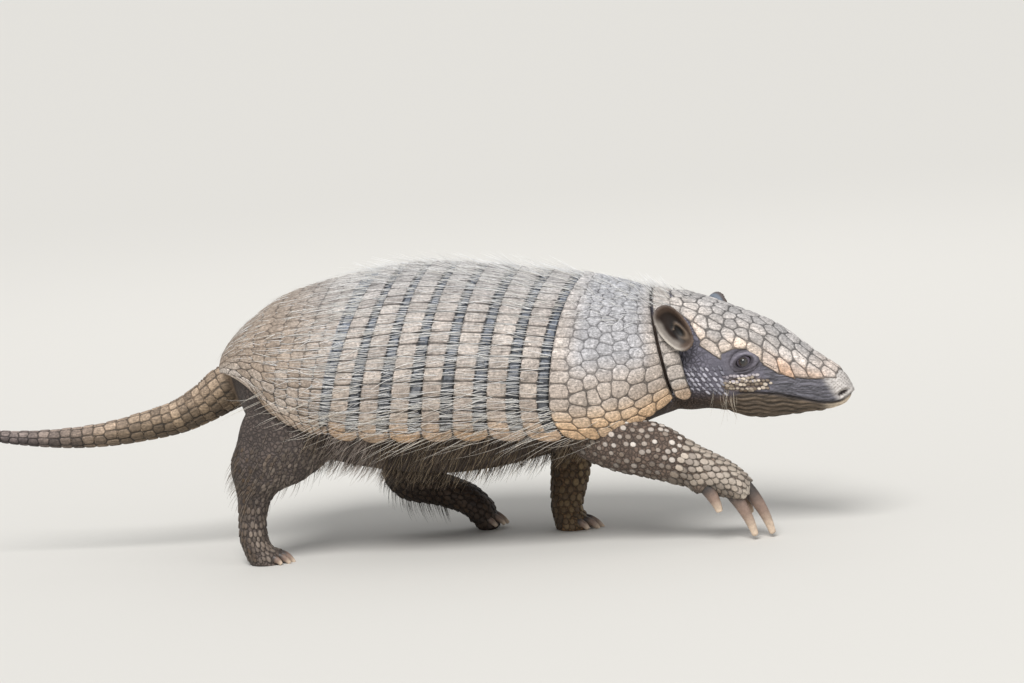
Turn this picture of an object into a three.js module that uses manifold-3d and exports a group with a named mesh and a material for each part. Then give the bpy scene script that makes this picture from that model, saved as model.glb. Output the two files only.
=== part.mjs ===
// A walking six-banded armadillo, life size, as a still museum model on its own four feet.
// Millimetres. +X points to the nose, +Y to the animal's left, +Z up, and the feet stand on Z = 0.
import * as THREE from "three";
import { mergeVertices } from "three/addons/utils/BufferGeometryUtils.js";
import Module from "manifold-3d";

const wasm = await Module();
wasm.setup();

// ---------------------------------------------------------------- driving sizes

const GAP = 0.35; // between pieces that meet
const SHELL_THICKNESS = 3.6;
const FLESH_INSET = 5.6; // from the shell's outer face to the flesh under it
const RIM_ANGLE = THREE.MathUtils.degToRad(115); // from the ridge round to the shell's rim
const FLANK_LEVEL = 0.3; // height of the widest line, as a share of rim to ridge
const SHELL_POWER = 2.25; // 2 would be an ellipse, more is squarer
const PLATE_LIFT = 0.9; // a plate's rear edge stands this high and its front lies this low
const LOBE = 0.035; // how far a plate's rim is drawn in at its corners, as a share of t
const LOBE_POWER = 2.5; // higher keeps the middle of the rim straighter
const RIM_REACH = 100; // least length from ridge to rim, to turn a clearance into a share of t
const COVER = 4; // how far the room of a plate reaches past its outer face
const END_ROUNDING = 2.2; // how soon a lofted body reaches its full girth from its ends

// Facets: around and along a body, or along and across a plate.
const FACETS = {
  flesh: [18, 14],
  head: [16, 13],
  headShield: [9, 12],
  eye: [10, 7],
  ear: 12,
  limb: [10, 10],
  tail: [10, 14],
  claw: [6, 4],
  shellAcross: 16,
  pelvicAlong: 6,
  bandAlong: 2,
  pectoralAlong: 5,
  nuchalAlong: 1,
};

// Trunk stations: x, ridge height, rim height, half width, belly height.
const TRUNK = [
  [-2, 133, 128, 20, 118],
  [3, 144, 130, 38, 104],
  [12, 155, 129.5, 52, 92],
  [24, 165, 124, 63, 82],
  [40, 175.5, 107, 72, 74],
  [62, 183.5, 95, 79, 67],
  [90, 189.5, 87, 83.5, 59],
  [120, 194, 84, 85.5, 53],
  [155, 195, 83, 86, 50],
  [190, 191.5, 81.5, 85, 53],
  [225, 186, 79, 82, 60],
  [255, 182, 77.5, 77, 67],
  [282, 176, 82, 69, 75],
  [302, 170, 91, 59, 82],
  [318, 167, 98, 49, 86],
  [334, 160, 98, 40, 89],
];
const FLESH_RUN = [3, 330]; // x of the two ends of the trunk and neck under the shell
const NECK_X = 300;

// Hinge lines between the plates, rear to front: x on the flank, and how far the line
// sweeps forward at the ridge and at the rim.
const HINGES = [
  { x: 79.5, ridge: 36, rim: 1, power: 1.15 },
  { x: 100, ridge: 32, rim: 1, power: 1.15 },
  { x: 121.5, ridge: 28, rim: 1, power: 1.15 },
  { x: 143.5, ridge: 25, rim: 1, power: 1.2 },
  { x: 165, ridge: 23, rim: 1, power: 1.2 },
  { x: 188, ridge: 22, rim: 3, power: 1.35 },
  { x: 210.5, ridge: 22, rim: 7, power: 1.5 },
  { x: 230.5, ridge: 23, rim: 13, power: 1.6 },
];
const FLANK_T = 0.78; // where a hinge line lies furthest back, 0 at the ridge, 1 at the rim
const RIDGE_ROUNDING = 0.16; // how broadly a hinge line turns over the ridge, as a share of t
const REAR_MARGIN = { ridge: 1, flank: 4, rim: 26, turn: 0.8 };
const FRONT_MARGIN = { ridge: 300, sweep: 15 };
const NUCHAL = { ridge: [302, 314], sweep: [15, 13] };

// Head stations along its own axis: distance, top, underside, half width, widest level.
const HEAD = [
  [-6, 168, 90, 34, 130],
  [4, 170, 86, 36.5, 128],
  [15, 168.5, 84.5, 37.5, 126],
  [30, 164, 85.5, 37, 122],
  [45, 157.5, 83, 34.5, 119],
  [60, 150.5, 78.5, 30.5, 116],
  [75, 143, 79, 25, 111.5],
  [90, 133, 80.5, 20.5, 107],
  [105, 121.5, 82, 16.5, 102.5],
  [117, 113.5, 84.5, 13.5, 99],
  [126, 107, 88, 10.5, 97],
  [131, 101.5, 92.5, 6, 96],
];
const HEAD_ORIGIN = [310, 0];
const HEAD_YAW = THREE.MathUtils.degToRad(-14);
const SHIELD_THICKNESS = 2.2;
const SEAT_SPREAD = 1.5; // clearance beside the head shield, as a multiple of that at its ends
const SEAT_DEPTH = 2; // the same under it
const SHIELD_RUN = [8, 121];
// Head shield margin: distance along the head, angle from the top of the head to the margin.
// It dips before the ear, rises over the eye and runs low along the snout.
const SHIELD_MARGIN = [
  [8, 44],
  [24, 47],
  [33, 66],
  [42, 84],
  [62, 67],
  [79, 81],
  [95, 84],
  [108, 74],
  [121, 55],
];
const EYE = { along: 61.3, side: 26, height: 121, radius: 5.4 };
// Mouth line from lip to corner: distance along the head, height.
const MOUTH = [
  [140, 91.5],
  [125, 91],
  [114, 89.5],
  [102, 92.5],
  [90, 96.5],
  [74, 100],
  [56, 101],
  [46, 92],
  [40, 70],
  [140, 70],
];
const EAR = { length: 19, width: 12.5, depth: 11, wall: 1.3, root: 22 };
// Where each ear's middle lies along the head, out from it and in height, and how far it
// leans back, flares out and turns its opening forward, in degrees.
const EARS = {
  right: { side: -1, along: 20.5, out: 48, height: 147, lean: -36, flare: 12, face: 22 },
  left: { side: 1, along: 25, out: 42, height: 142.5, lean: -8, flare: 18, face: 56 },
};

// Tail: x, height, radius, sideways.
const TAIL = [
  [22, 124, 15, 0],
  [2, 117, 15.5, 0],
  [-16, 106.5, 13, 0],
  [-34, 98.5, 11.2, 0],
  [-56, 93.3, 9.8, 0.5],
  [-84, 88.6, 8, 1.5],
  [-112, 87, 6.6, 3],
  [-140, 88, 5, 4],
  [-165, 91, 3.7, 4],
  [-190, 96.5, 2.5, 3],
  [-212, 102.5, 1.4, 1],
];
const TAIL_CUTS = [-40, -112];

// Limb stations: x, y, z, half depth fore and aft, half width, and the slope in degrees of
// the section's fore-and-aft axis.
const RIGHT_HIND = [
  [60, -36, 124, 26, 16, 0],
  [58, -45, 102, 40, 20, 0],
  [51.5, -47.5, 84, 39.5, 20, 0],
  [43, -49, 73, 35, 18, 0],
  [38, -49, 65, 30.5, 16, 0],
  [32.5, -49, 57, 23.5, 14.5, 0],
  [24, -48.5, 49.5, 13.8, 12, 0],
  [20, -48, 36, 9.8, 11, 0],
  [19, -47, 20, 9.5, 11.5, 0],
  [22, -46.5, 9, 9.8, 12.5, 0],
  [27, -46, -1, 11, 13, 0],
  [29, -46, -8, 8, 12, 0],
];
const LEFT_HIND = [
  [124, 34, 108, 22, 14, 0],
  [123, 43, 88, 28, 17, 0],
  [120, 48, 67, 23.5, 17, 0],
  [118, 50, 53, 19.5, 14.5, 0],
  [119, 50, 42, 19, 13, 15],
  [124, 50, 34.5, 16, 12.5, 40],
  [136.5, 50, 30, 12, 11.5, 60],
  [149, 50, 25.5, 11, 12, 62],
  [159, 50, 20.5, 10.5, 12.5, 60],
  [167.5, 50, 12.5, 9.5, 12.5, 45],
  [171, 50, 3, 8, 12, 20],
  [172, 50, -5, 6, 11, 10],
];
const LEFT_FORE = [
  [242, 26, 112, 20, 12, 0],
  [239, 33, 92, 21, 16, 0],
  [236, 36, 74, 16, 15, 0],
  [234.5, 37, 58, 14, 13, 0],
  [233.5, 36, 46, 14, 11.5, 0],
  [231.5, 34, 32, 12.8, 11, 0],
  [229, 32, 18, 11, 11, 0],
  [229.5, 31, 8, 10, 12.5, 0],
  [233, 30.5, -1, 11.5, 13.5, 0],
  [234, 30.5, -7, 10, 12.5, 0],
];
const RIGHT_FORE = [
  [250, -30, 116, 17, 10, 5],
  [254, -41, 99, 22, 15, 15],
  [259, -48, 86, 24, 16.5, 35],
  [269, -52, 77.5, 22.5, 16.5, 52],
  [283, -54, 70, 20, 16, 62],
  [297, -55, 66, 19.3, 15, 62],
  [309, -54, 60.5, 17.5, 14, 62],
  [321.5, -52.5, 54.2, 14.6, 13, 62],
  [332.5, -50.5, 49.3, 13, 12.5, 60],
  [343.5, -48, 43.5, 11.8, 13.5, 55],
  [353, -46, 37, 9.5, 14, 48],
  [359, -45, 30, 5.5, 12, 40],
];

// ---------------------------------------------------------------- materials

const material = (color, roughness, metalness = 0) =>
  new THREE.MeshStandardMaterial({ color, roughness, metalness, flatShading: true });

const SCUTE = material(0xa8927c, 0.75);
const HEAD_SCUTE = material(0xb9a389, 0.72);
const SKIN = material(0x5d5450, 0.85);
const LEG_SKIN = material(0x6a5d54, 0.82);
const EAR_SKIN = material(0x6b5a4c, 0.7);
const EYE_GLASS = material(0x120d0b, 0.08);
const CLAW_HORN = material(0x8a7460, 0.45);

// ---------------------------------------------------------------- solids

const deg = THREE.MathUtils.degToRad;
const clamp01 = (value) => THREE.MathUtils.clamp(value, 0, 1);
const signedPower = (value, power) => Math.sign(value) * Math.abs(value) ** power;

/** A smooth curve through keyed rows: the first number of a row is the key. */
function through(rows) {
  const keys = rows.map((row) => row[0]);
  const values = rows.flatMap((row) => row.slice(1));
  const curve = new THREE.CubicInterpolant(keys, values, rows[0].length - 1, []);
  return (key) => [...curve.evaluate(key)];
}

/** A geometry as a solid, turned the right way out if its faces look inwards. */
function solidOf(geometry) {
  const bare = new THREE.BufferGeometry();
  bare.setAttribute("position", geometry.getAttribute("position"));
  bare.setIndex(geometry.index);
  const merged = mergeVertices(bare, 1e-4);
  const triVerts = new Uint32Array(merged.index.array);
  const build = () =>
    new wasm.Manifold(
      new wasm.Mesh({
        numProp: 3,
        vertProperties: new Float32Array(merged.attributes.position.array),
        triVerts,
      }),
    );
  const made = build();
  if (made.volume() >= 0) return made;
  for (let i = 0; i < triVerts.length; i += 3) {
    [triVerts[i + 1], triVerts[i + 2]] = [triVerts[i + 2], triVerts[i + 1]];
  }
  return build();
}

/** A closed body lofted from pole to pole: place(run, turn, pinch) gives each point. */
function loft(place, around, along) {
  const ball = new THREE.SphereGeometry(1, around, along);
  const { position, uv } = ball.attributes;
  for (let i = 0; i < position.count; i += 1) {
    const round = Math.PI * (1 - uv.getY(i));
    const run = (1 - Math.cos(round)) / 2;
    const pinch = Math.min(1, END_ROUNDING * Math.sin(round));
    const point = place(run, uv.getX(i) * Math.PI * 2, pinch < 1e-6 ? 0 : pinch);
    position.setXYZ(i, ...point);
  }
  return solidOf(ball);
}

/** A plate bent over a surface: place(run, cross, depth), each from 0 to 1. */
function plate(place, alongSteps, acrossSteps) {
  const slab = new THREE.BoxGeometry(1, 1, 1, alongSteps, acrossSteps, 1);
  const { position } = slab.attributes;
  for (let i = 0; i < position.count; i += 1) {
    const point = place(
      position.getX(i) + 0.5,
      position.getY(i) + 0.5,
      position.getZ(i) + 0.5,
    );
    position.setXYZ(i, ...point);
  }
  return solidOf(slab);
}

/** The part of a solid beyond a point, on the side that the normal looks to. */
function beyond(solid, point, normal, margin = 0) {
  const n = new THREE.Vector3(...normal).normalize();
  return solid.trimByPlane(n.toArray(), n.dot(new THREE.Vector3(...point)) + margin);
}

/** The part of a solid short of a point. */
function before(solid, point, normal, margin = 0) {
  return beyond(solid, point, normal.map((value) => -value), margin);
}

/** Cuts a solid along planes into pieces with a thin gap between them. */
function parted(solid, planes) {
  const pieces = [];
  let rest = solid;
  for (const { point, normal } of planes) {
    pieces.push(before(rest, point, normal, GAP / 2));
    rest = beyond(rest, point, normal, GAP / 2);
  }
  return [...pieces, rest];
}

const aboveFloor = (solid) => beyond(solid, [0, 0, 0], [0, 0, 1]);

/** The largest piece of a solid that a cut may have left in crumbs. */
function largest(solid) {
  return solid.decompose().sort((a, b) => b.volume() - a.volume())[0];
}

// ---------------------------------------------------------------- shell

const trunkAt = through(TRUNK);

/** A point of the shell's outer face: t runs from -1 at the right rim to 1 at the left. */
function shellPoint(x, t, offset = 0) {
  const [ridge, rim, half] = trunkAt(x);
  const middle = rim + FLANK_LEVEL * (ridge - rim);
  const angle = t * RIM_ANGLE;
  const power = 2 / SHELL_POWER;
  const rise = signedPower(Math.cos(angle), power);
  const below = (middle - rim) / Math.abs(Math.cos(RIM_ANGLE)) ** power;
  const reach = rise > 0 ? ridge - middle + offset : below;
  return [x, (half + offset) * signedPower(Math.sin(angle), power), middle + reach * rise];
}

/** The x of a hinge line at t. */
function hingeX({ x, ridge, rim, power }, t) {
  const away = Math.hypot(t, RIDGE_ROUNDING) - RIDGE_ROUNDING;
  const top = Math.max(0, 1 - away / FLANK_T) ** power;
  const low = Math.max(0, (Math.abs(t) - FLANK_T) / (1 - FLANK_T)) ** 2;
  return x + ridge * top + rim * low;
}

/** A plate of the shell between two margins, with its rim drawn in at the corners. */
function shellPlate(rearX, frontX, steps, clearance) {
  const inner = -SHELL_THICKNESS - PLATE_LIFT - clearance;
  const cover = clearance > 0 ? COVER : 0;
  return plate(
    (run, cross, depth) => {
      const corner = Math.abs(2 * run - 1) ** LOBE_POWER;
      const t = (2 * cross - 1) * (1 + clearance / RIM_REACH - LOBE * corner);
      const rear = rearX(t) - clearance;
      const front = frontX(t) + clearance;
      const lift = THREE.MathUtils.lerp(PLATE_LIFT, -PLATE_LIFT, run);
      const offset = THREE.MathUtils.lerp(inner, lift + cover, depth);
      return shellPoint(THREE.MathUtils.lerp(rear, front, run), t, offset);
    },
    steps,
    FACETS.shellAcross,
  );
}

const rearMarginX = (t) => {
  const { ridge, flank, rim, turn } = REAR_MARGIN;
  const side = Math.abs(t);
  return ridge + flank * side ** 2 + (rim - flank) * clamp01((side - turn) / (1 - turn)) ** 2;
};
const frontMarginX = (t) => FRONT_MARGIN.ridge + FRONT_MARGIN.sweep * t * t;
const nuchalX = (index) => (t) => NUCHAL.ridge[index] + NUCHAL.sweep[index] * t * t;

/** The plates by name, or, with a clearance, the room that they take in the flesh. */
function makeShell(clearance = 0) {
  const made = new Map();
  const ahead = HINGES.map((hinge) => (t) => hingeX(hinge, t) + GAP / 2);
  const behind = HINGES.map((hinge) => (t) => hingeX(hinge, t) - GAP / 2);
  const put = (name, rear, front, steps) =>
    made.set(name, shellPlate(rear, front, steps, clearance));
  put("pelvic_shield", rearMarginX, behind[0], FACETS.pelvicAlong);
  for (let i = 0; i + 1 < HINGES.length; i += 1) {
    put(`band_${HINGES.length - 1 - i}`, ahead[i], behind[i + 1], FACETS.bandAlong);
  }
  put("pectoral_shield", ahead.at(-1), frontMarginX, FACETS.pectoralAlong);
  put("nuchal_band", nuchalX(0), nuchalX(1), FACETS.nuchalAlong);
  return made;
}

// ---------------------------------------------------------------- trunk and neck

/** A point of the flesh: turn is 0 at the back, half a turn at the belly. */
function fleshPoint(run, turn, pinch, grow) {
  const [first, last] = FLESH_RUN;
  const x = THREE.MathUtils.lerp(first - grow, last + grow, run);
  const [ridge, rim, half, belly] = trunkAt(x);
  const middle = rim + FLANK_LEVEL * (ridge - rim);
  const inset = FLESH_INSET - grow;
  const up = Math.cos(turn);
  const power = up > 0 ? 2 / SHELL_POWER : 1;
  const reach = up > 0 ? ridge - middle - inset : middle - belly + grow;
  return [
    x,
    pinch * (half - inset) * signedPower(Math.sin(turn), power),
    middle + pinch * reach * signedPower(up, power),
  ];
}

const makeFlesh = (grow = 0) =>
  loft((run, turn, pinch) => fleshPoint(run, turn, pinch, grow), ...FACETS.flesh);

// ---------------------------------------------------------------- head

const headAt = through(HEAD);

/** A place in the head's own frame, as a point of the model. */
function fromHead(along, side, height) {
  const [x, y] = HEAD_ORIGIN;
  const c = Math.cos(HEAD_YAW);
  const s = Math.sin(HEAD_YAW);
  return [x + along * c - side * s, y + along * s + side * c, height];
}

/** A point of the head: turn is 0 on top. */
function headPoint(along, turn, grow = 0, pinch = 1) {
  const [top, under, half, middle] = headAt(along);
  const up = Math.cos(turn);
  const reach = up > 0 ? top - middle + grow : middle - under + grow;
  return fromHead(
    along,
    pinch * (half + grow) * signedPower(Math.sin(turn), 0.9),
    middle + pinch * reach * signedPower(up, up > 0 ? 0.95 : 0.88),
  );
}

function makeHead(grow = 0) {
  const first = HEAD[0][0] - grow;
  const last = HEAD.at(-1)[0] + grow;
  return loft(
    (run, turn, pinch) => headPoint(THREE.MathUtils.lerp(first, last, run), turn, grow, pinch),
    ...FACETS.head,
  );
}

const shieldMarginAt = through(SHIELD_MARGIN);

/** The scuted shield that covers the top of the head, or the seat it lies in. */
function makeHeadShield(seat = 0) {
  const [rear, front] = SHIELD_RUN;
  const inner = -SHIELD_THICKNESS - SEAT_DEPTH * seat;
  const outer = seat > 0 ? COVER : 0;
  return plate(
    (run, cross, depth) => {
      const along = THREE.MathUtils.lerp(rear, front, run);
      const margin = deg(shieldMarginAt(along)[0]) + (SEAT_SPREAD * seat) / headAt(along)[2];
      const offset = THREE.MathUtils.lerp(inner, outer, depth);
      return headPoint(along + (2 * run - 1) * seat, (2 * cross - 1) * margin, offset);
    },
    ...FACETS.headShield,
  );
}

/** The block that holds the lower jaw, moved down and forward by the clearance. */
function jawBlock(clearance) {
  const outline = new THREE.Shape(
    MOUTH.map(([along, height]) => new THREE.Vector2(along + clearance, height - clearance)),
  );
  const width = 4 * EYE.side;
  const block = new THREE.ExtrudeGeometry(outline, { depth: width, bevelEnabled: false });
  const { position } = block.attributes;
  for (let i = 0; i < position.count; i += 1) {
    const point = fromHead(position.getX(i), position.getZ(i) - width / 2, position.getY(i));
    position.setXYZ(i, ...point);
  }
  return solidOf(block);
}

function makeEye(side, grow = 0) {
  const ball = new THREE.SphereGeometry(EYE.radius + grow, ...FACETS.eye);
  ball.translate(...fromHead(EYE.along, side * EYE.side, EYE.height));
  return solidOf(ball);
}

/** A cupped ear on a short root, leaning back and open forward and out. */
function makeEar({ side, along, out, height, lean, flare, face }) {
  const { length, width, depth, wall, root } = EAR;
  const ball = wasm.Manifold.sphere(1, FACETS.ear);
  const outer = ball.scale([width, depth, length]);
  const inner = ball
    .scale([width - wall, depth, length - wall])
    .translate([0, -wall - 1, 0]);
  const cup = before(outer, [0, -depth / 4, 0], [0, -1, 0]);
  const stalk = ball
    .scale([width / 2, root / 2, length / 2])
    .translate([0, root / 2, -length / 3]);
  const turned = cup.add(stalk).subtract(inner).rotate([flare, 0, face]).rotate([0, lean, 0]);
  const facing = side < 0 ? turned : turned.mirror([0, 1, 0]);
  const yaw = THREE.MathUtils.radToDeg(HEAD_YAW);
  return facing.rotate([0, 0, yaw]).translate(fromHead(along, side * out, height));
}

// ---------------------------------------------------------------- tail and limbs

/**
 * A bent tapering body: rows of x, y, z, half depth, half width and the slope of the section.
 * Without a slope a section lies square to the path.
 */
function limb(rows, grow = 0, facets = FACETS.limb) {
  const path = new THREE.CatmullRomCurve3(
    rows.map(([x, y, z]) => new THREE.Vector3(x, y, z)),
  );
  const last = rows.length - 1;
  const sizeAt = through(rows.map((row, i) => [i / last, ...row.slice(3)]));
  return loft(
    (run, turn, pinch) => {
      const centre = path.getPoint(run);
      const heading = path.getTangent(run);
      const side = new THREE.Vector3(0, 1, 0).addScaledVector(heading, -heading.y).normalize();
      const [deep, wide, slope] = sizeAt(run);
      const front = new THREE.Vector3().crossVectors(heading, side);
      if (slope !== undefined) {
        side.set(0, 1, 0);
        front.set(Math.cos(deg(slope)), 0, Math.sin(deg(slope)));
      }
      return centre
        .addScaledVector(heading, (2 * run - 1) * grow)
        .addScaledVector(front, pinch * (deep + grow) * Math.cos(turn))
        .addScaledVector(side, pinch * (wide + grow) * Math.sin(turn))
        .toArray();
    },
    ...facets,
  );
}

/** A claw that leaves its root at one slope and bends to a steeper one. */
function claw({ at, heading, length, style }, grow = 0) {
  const { steps, taper, power, flatness } = CLAW;
  const rows = [];
  const point = new THREE.Vector3(...at);
  for (let i = 0; i <= steps; i += 1) {
    const share = i / steps;
    const slope = deg(THREE.MathUtils.lerp(...style.droop, share));
    const radius = style.root * (1 - taper * share ** power);
    rows.push([...point.toArray(), radius, radius * flatness]);
    point.x += (length / steps) * Math.cos(slope) * Math.cos(deg(heading));
    point.y += (length / steps) * Math.cos(slope) * Math.sin(deg(heading));
    point.z += (length / steps) * Math.sin(slope);
  }
  return aboveFloor(limb(rows, grow, FACETS.claw));
}

// How a claw narrows along its length, and its width as a share of its height.
const CLAW = { steps: 4, taper: 0.6, power: 1.6, flatness: 0.75 };
// Half height of a claw at its root, and its slope at the root and at the tip in degrees.
const HIND_CLAW = { root: 2.7, droop: [-15, -60] };
const REACHING_CLAW = { root: 3.6, droop: [-52, -78] };
const PLANTED_CLAW = { root: 3, droop: [-15, -55] };

// Each claw: the root of the digit, its heading from straight ahead, and its length. The
// digits run from the inner side of the foot to the outer.
const LIMBS = {
  hind_right: {
    rows: RIGHT_HIND,
    cuts: [
      { point: [40, 0, 67], normal: [0, 0, -1] },
      { point: [22, 0, 49], normal: [-0.2, 0, -1] },
    ],
    style: HIND_CLAW,
    claws: [
      { at: [33, -36.5, 5], heading: 8, length: 8 },
      { at: [36, -41, 5.5], heading: 3, length: 10 },
      { at: [37, -46, 5.5], heading: 0, length: 11 },
      { at: [35.5, -51, 5.5], heading: -5, length: 10 },
      { at: [32, -55.5, 5], heading: -12, length: 8 },
    ],
  },
  hind_left: {
    rows: LEFT_HIND,
    cuts: [
      { point: [120, 0, 60], normal: [0, 0, -1] },
      { point: [125, 0, 35], normal: [0.8, 0, -0.6] },
    ],
    style: HIND_CLAW,
    claws: [
      { at: [170, 40.5, 8], heading: -12, length: 10 },
      { at: [173, 45, 9.5], heading: -5, length: 12.5 },
      { at: [174.5, 50, 9.5], heading: 0, length: 13 },
      { at: [173, 55, 9.5], heading: 5, length: 12.5 },
      { at: [170, 59.5, 8], heading: 12, length: 10 },
    ],
  },
  fore_left: {
    rows: LEFT_FORE,
    cuts: [
      { point: [235, 0, 60], normal: [0, 0, -1] },
      { point: [230, 0, 15], normal: [0, 0, -1] },
    ],
    style: PLANTED_CLAW,
    claws: [
      { at: [236, 21, 6], heading: -14, length: 10 },
      { at: [240, 26, 6.5], heading: -6, length: 13 },
      { at: [241, 31, 7], heading: 0, length: 15 },
      { at: [239.5, 36, 6.5], heading: 7, length: 12 },
      { at: [236, 40.5, 6], heading: 14, length: 9 },
    ],
  },
  fore_right: {
    rows: RIGHT_FORE,
    cuts: [
      { point: [275, 0, 74], normal: [0.9, 0, -0.43] },
      { point: [330, 0, 49], normal: [0.88, 0, -0.47] },
    ],
    style: REACHING_CLAW,
    claws: [
      { at: [352, -34.5, 33], heading: 6, length: 20 },
      { at: [358, -39.5, 36], heading: 3, length: 37 },
      { at: [358.5, -45.5, 36.5], heading: 0, length: 38.5 },
      { at: [347.5, -52, 36], heading: -3, length: 37.5 },
      { at: [332, -58, 40], heading: -6, length: 21 },
    ],
  },
};

/** The pieces of one leg: upper, lower, foot and claws. */
function makeLeg({ rows, cuts, style, claws }, body) {
  const horns = claws.map((one) => claw({ ...one, style }));
  const sockets = claws.map((one) => claw({ ...one, style }, GAP));
  const whole = aboveFloor(limb(rows).subtract(body));
  const [upper, lower, foot] = parted(whole, cuts).map(largest);
  const footWithSockets = sockets.reduce((left, socket) => left.subtract(socket), foot);
  return { upper, lower, foot: largest(footWithSockets), horns };
}

// ---------------------------------------------------------------- assembly

const model = new THREE.Group();

function add(name, solid, finish) {
  const { numProp, numVert, vertProperties, triVerts } = solid.getMesh();
  const points = new Float32Array(numVert * 3);
  for (let i = 0; i < numVert; i += 1) {
    points.set(vertProperties.subarray(i * numProp, i * numProp + 3), i * 3);
  }
  const geometry = new THREE.BufferGeometry();
  geometry.setAttribute("position", new THREE.BufferAttribute(points, 3));
  geometry.setIndex(new THREE.BufferAttribute(triVerts, 1));
  geometry.computeVertexNormals();
  const mesh = new THREE.Mesh(geometry, finish);
  mesh.name = name;
  model.add(mesh);
}

for (const [name, solid] of makeShell()) add(name, solid, SCUTE);

const shellRoom = wasm.Manifold.union([...makeShell(GAP).values()]);
const headRoom = makeHead(GAP).add(makeHeadShield(GAP));
const eyeRoom = makeEye(-1, GAP).add(makeEye(1, GAP));
const [trunk, neckStub] = parted(makeFlesh().subtract(shellRoom), [
  { point: [NECK_X, 0, 0], normal: [1, 0, 0] },
]);
add("trunk", largest(trunk.subtract(headRoom)), SKIN);
add("neck", largest(neckStub.subtract(headRoom)), SKIN);

const bareHead = makeHead().subtract(makeHeadShield(GAP)).subtract(shellRoom).subtract(eyeRoom);
add("head", largest(bareHead.subtract(jawBlock(0))), SKIN);
add("lower_jaw", largest(bareHead.intersect(jawBlock(GAP))), SKIN);
const headShield = makeHeadShield().subtract(shellRoom).subtract(eyeRoom);
add("head_shield", largest(headShield), HEAD_SCUTE);
const body = makeFlesh(GAP).add(shellRoom).add(headRoom);
for (const [name, spec] of Object.entries(EARS)) {
  add(`eye_${name}`, makeEye(spec.side), EYE_GLASS);
  add(`ear_${name}`, largest(makeEar(spec).subtract(body)), EAR_SKIN);
}

const tailRows = TAIL.map(([x, z, radius, y]) => [x, y, z, radius, radius]);
const tail = limb(tailRows, 0, FACETS.tail).subtract(body);
const tailCuts = TAIL_CUTS.map((x) => ({ point: [x, 0, 0], normal: [-1, 0, 0] }));
parted(tail, tailCuts).forEach((piece, i) => {
  add(["tail_base", "tail_middle", "tail_tip"][i], largest(piece), SCUTE);
});

const DIGITS = ["1", "2", "3", "4", "5"];
for (const [name, spec] of Object.entries(LIMBS)) {
  const { upper, lower, foot, horns } = makeLeg(spec, body);
  add(`${name}_upper`, upper, LEG_SKIN);
  add(`${name}_lower`, lower, LEG_SKIN);
  add(`${name}_foot`, foot, LEG_SKIN);
  horns.forEach((horn, i) => add(`${name}_claw_${DIGITS[i]}`, horn, CLAW_HORN));
}

// The origin is the middle of the model's underside.
const extent = new THREE.Box3().setFromObject(model);
const middle = extent.getCenter(new THREE.Vector3());
model.position.set(-middle.x, -middle.y, -extent.min.z);

export default model;
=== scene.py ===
"""Dresses the still armadillo: horny scutes, one skin, small scales, bristles, eyes and claws.

Lengths are millimetres in the animal's own frame, with X = 0 at the rump, +X to the nose, +Y to its
left and the floor at Z = 0, until `Place.row` turns them into metres in the row frame.
"""

import itertools
import logging
import math
from dataclasses import dataclass, field
from enum import Enum
from typing import Callable, Sequence

import bmesh
import bpy
import numpy as np
from mathutils import Matrix, Vector
from mathutils.bvhtree import BVHTree


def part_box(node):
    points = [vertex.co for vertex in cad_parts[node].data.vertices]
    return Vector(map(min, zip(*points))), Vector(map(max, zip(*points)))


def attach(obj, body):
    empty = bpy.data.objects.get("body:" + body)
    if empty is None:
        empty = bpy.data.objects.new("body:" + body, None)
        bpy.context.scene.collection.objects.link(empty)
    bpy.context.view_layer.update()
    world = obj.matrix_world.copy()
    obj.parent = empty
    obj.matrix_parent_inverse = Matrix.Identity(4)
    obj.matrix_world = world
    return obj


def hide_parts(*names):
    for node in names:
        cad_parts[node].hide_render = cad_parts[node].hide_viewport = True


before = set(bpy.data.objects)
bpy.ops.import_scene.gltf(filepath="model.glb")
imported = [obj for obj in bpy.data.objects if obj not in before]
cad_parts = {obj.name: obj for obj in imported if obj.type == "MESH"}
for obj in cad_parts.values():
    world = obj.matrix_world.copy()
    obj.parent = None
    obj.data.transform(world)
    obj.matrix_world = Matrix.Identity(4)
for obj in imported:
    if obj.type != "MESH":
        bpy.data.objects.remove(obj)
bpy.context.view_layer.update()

MM = 0.001
LOG = logging.getLogger("armadillo")
Real = float | np.ndarray
Placing = Callable[[np.ndarray, np.ndarray, np.ndarray], np.ndarray]


# ---------------------------------------------------------------- numbers and colours


def linear(code: str) -> np.ndarray:
    """Turns an sRGB hex colour such as "A8927C" into linear red, green and blue."""
    srgb = np.array([int(code[i : i + 2], 16) / 255 for i in (0, 2, 4)])
    return np.where(srgb <= 0.04045, srgb / 12.92, ((srgb + 0.055) / 1.055) ** 2.4)


def ramp(low: float, high: float, value: Real) -> Real:
    """Rises smoothly from 0 at low to 1 at high."""
    share = np.clip((value - low) / (high - low), 0, 1)
    return share * share * (3 - 2 * share)


def hump(value: np.ndarray, middle: Real, width: float) -> np.ndarray:
    """A smooth hump of height 1 at a middle value."""
    return np.exp(-(((value - middle) / width) ** 2))


def signed_power(value: Real, power: Real) -> Real:
    """Raises the size of a value to a power and keeps its sign."""
    return np.sign(value) * np.abs(value) ** power


def mix(first: np.ndarray, second: np.ndarray, share: Real) -> np.ndarray:
    """Blends two colours by a share for each point."""
    share = np.asarray(share, float)[..., None]
    return first * (1 - share) + second * share


def stacked(*parts: Real) -> np.ndarray:
    """Points from their coordinates, of which some may be single numbers."""
    return np.stack(np.broadcast_arrays(*parts), -1)


def painted(colour: np.ndarray, *coats: tuple[str, Real]) -> np.ndarray:
    """Lays coats over a colour: each is an sRGB hex colour and its share for each point."""
    for code, share in coats:
        colour = mix(colour, linear(code), share)
    return colour


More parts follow.
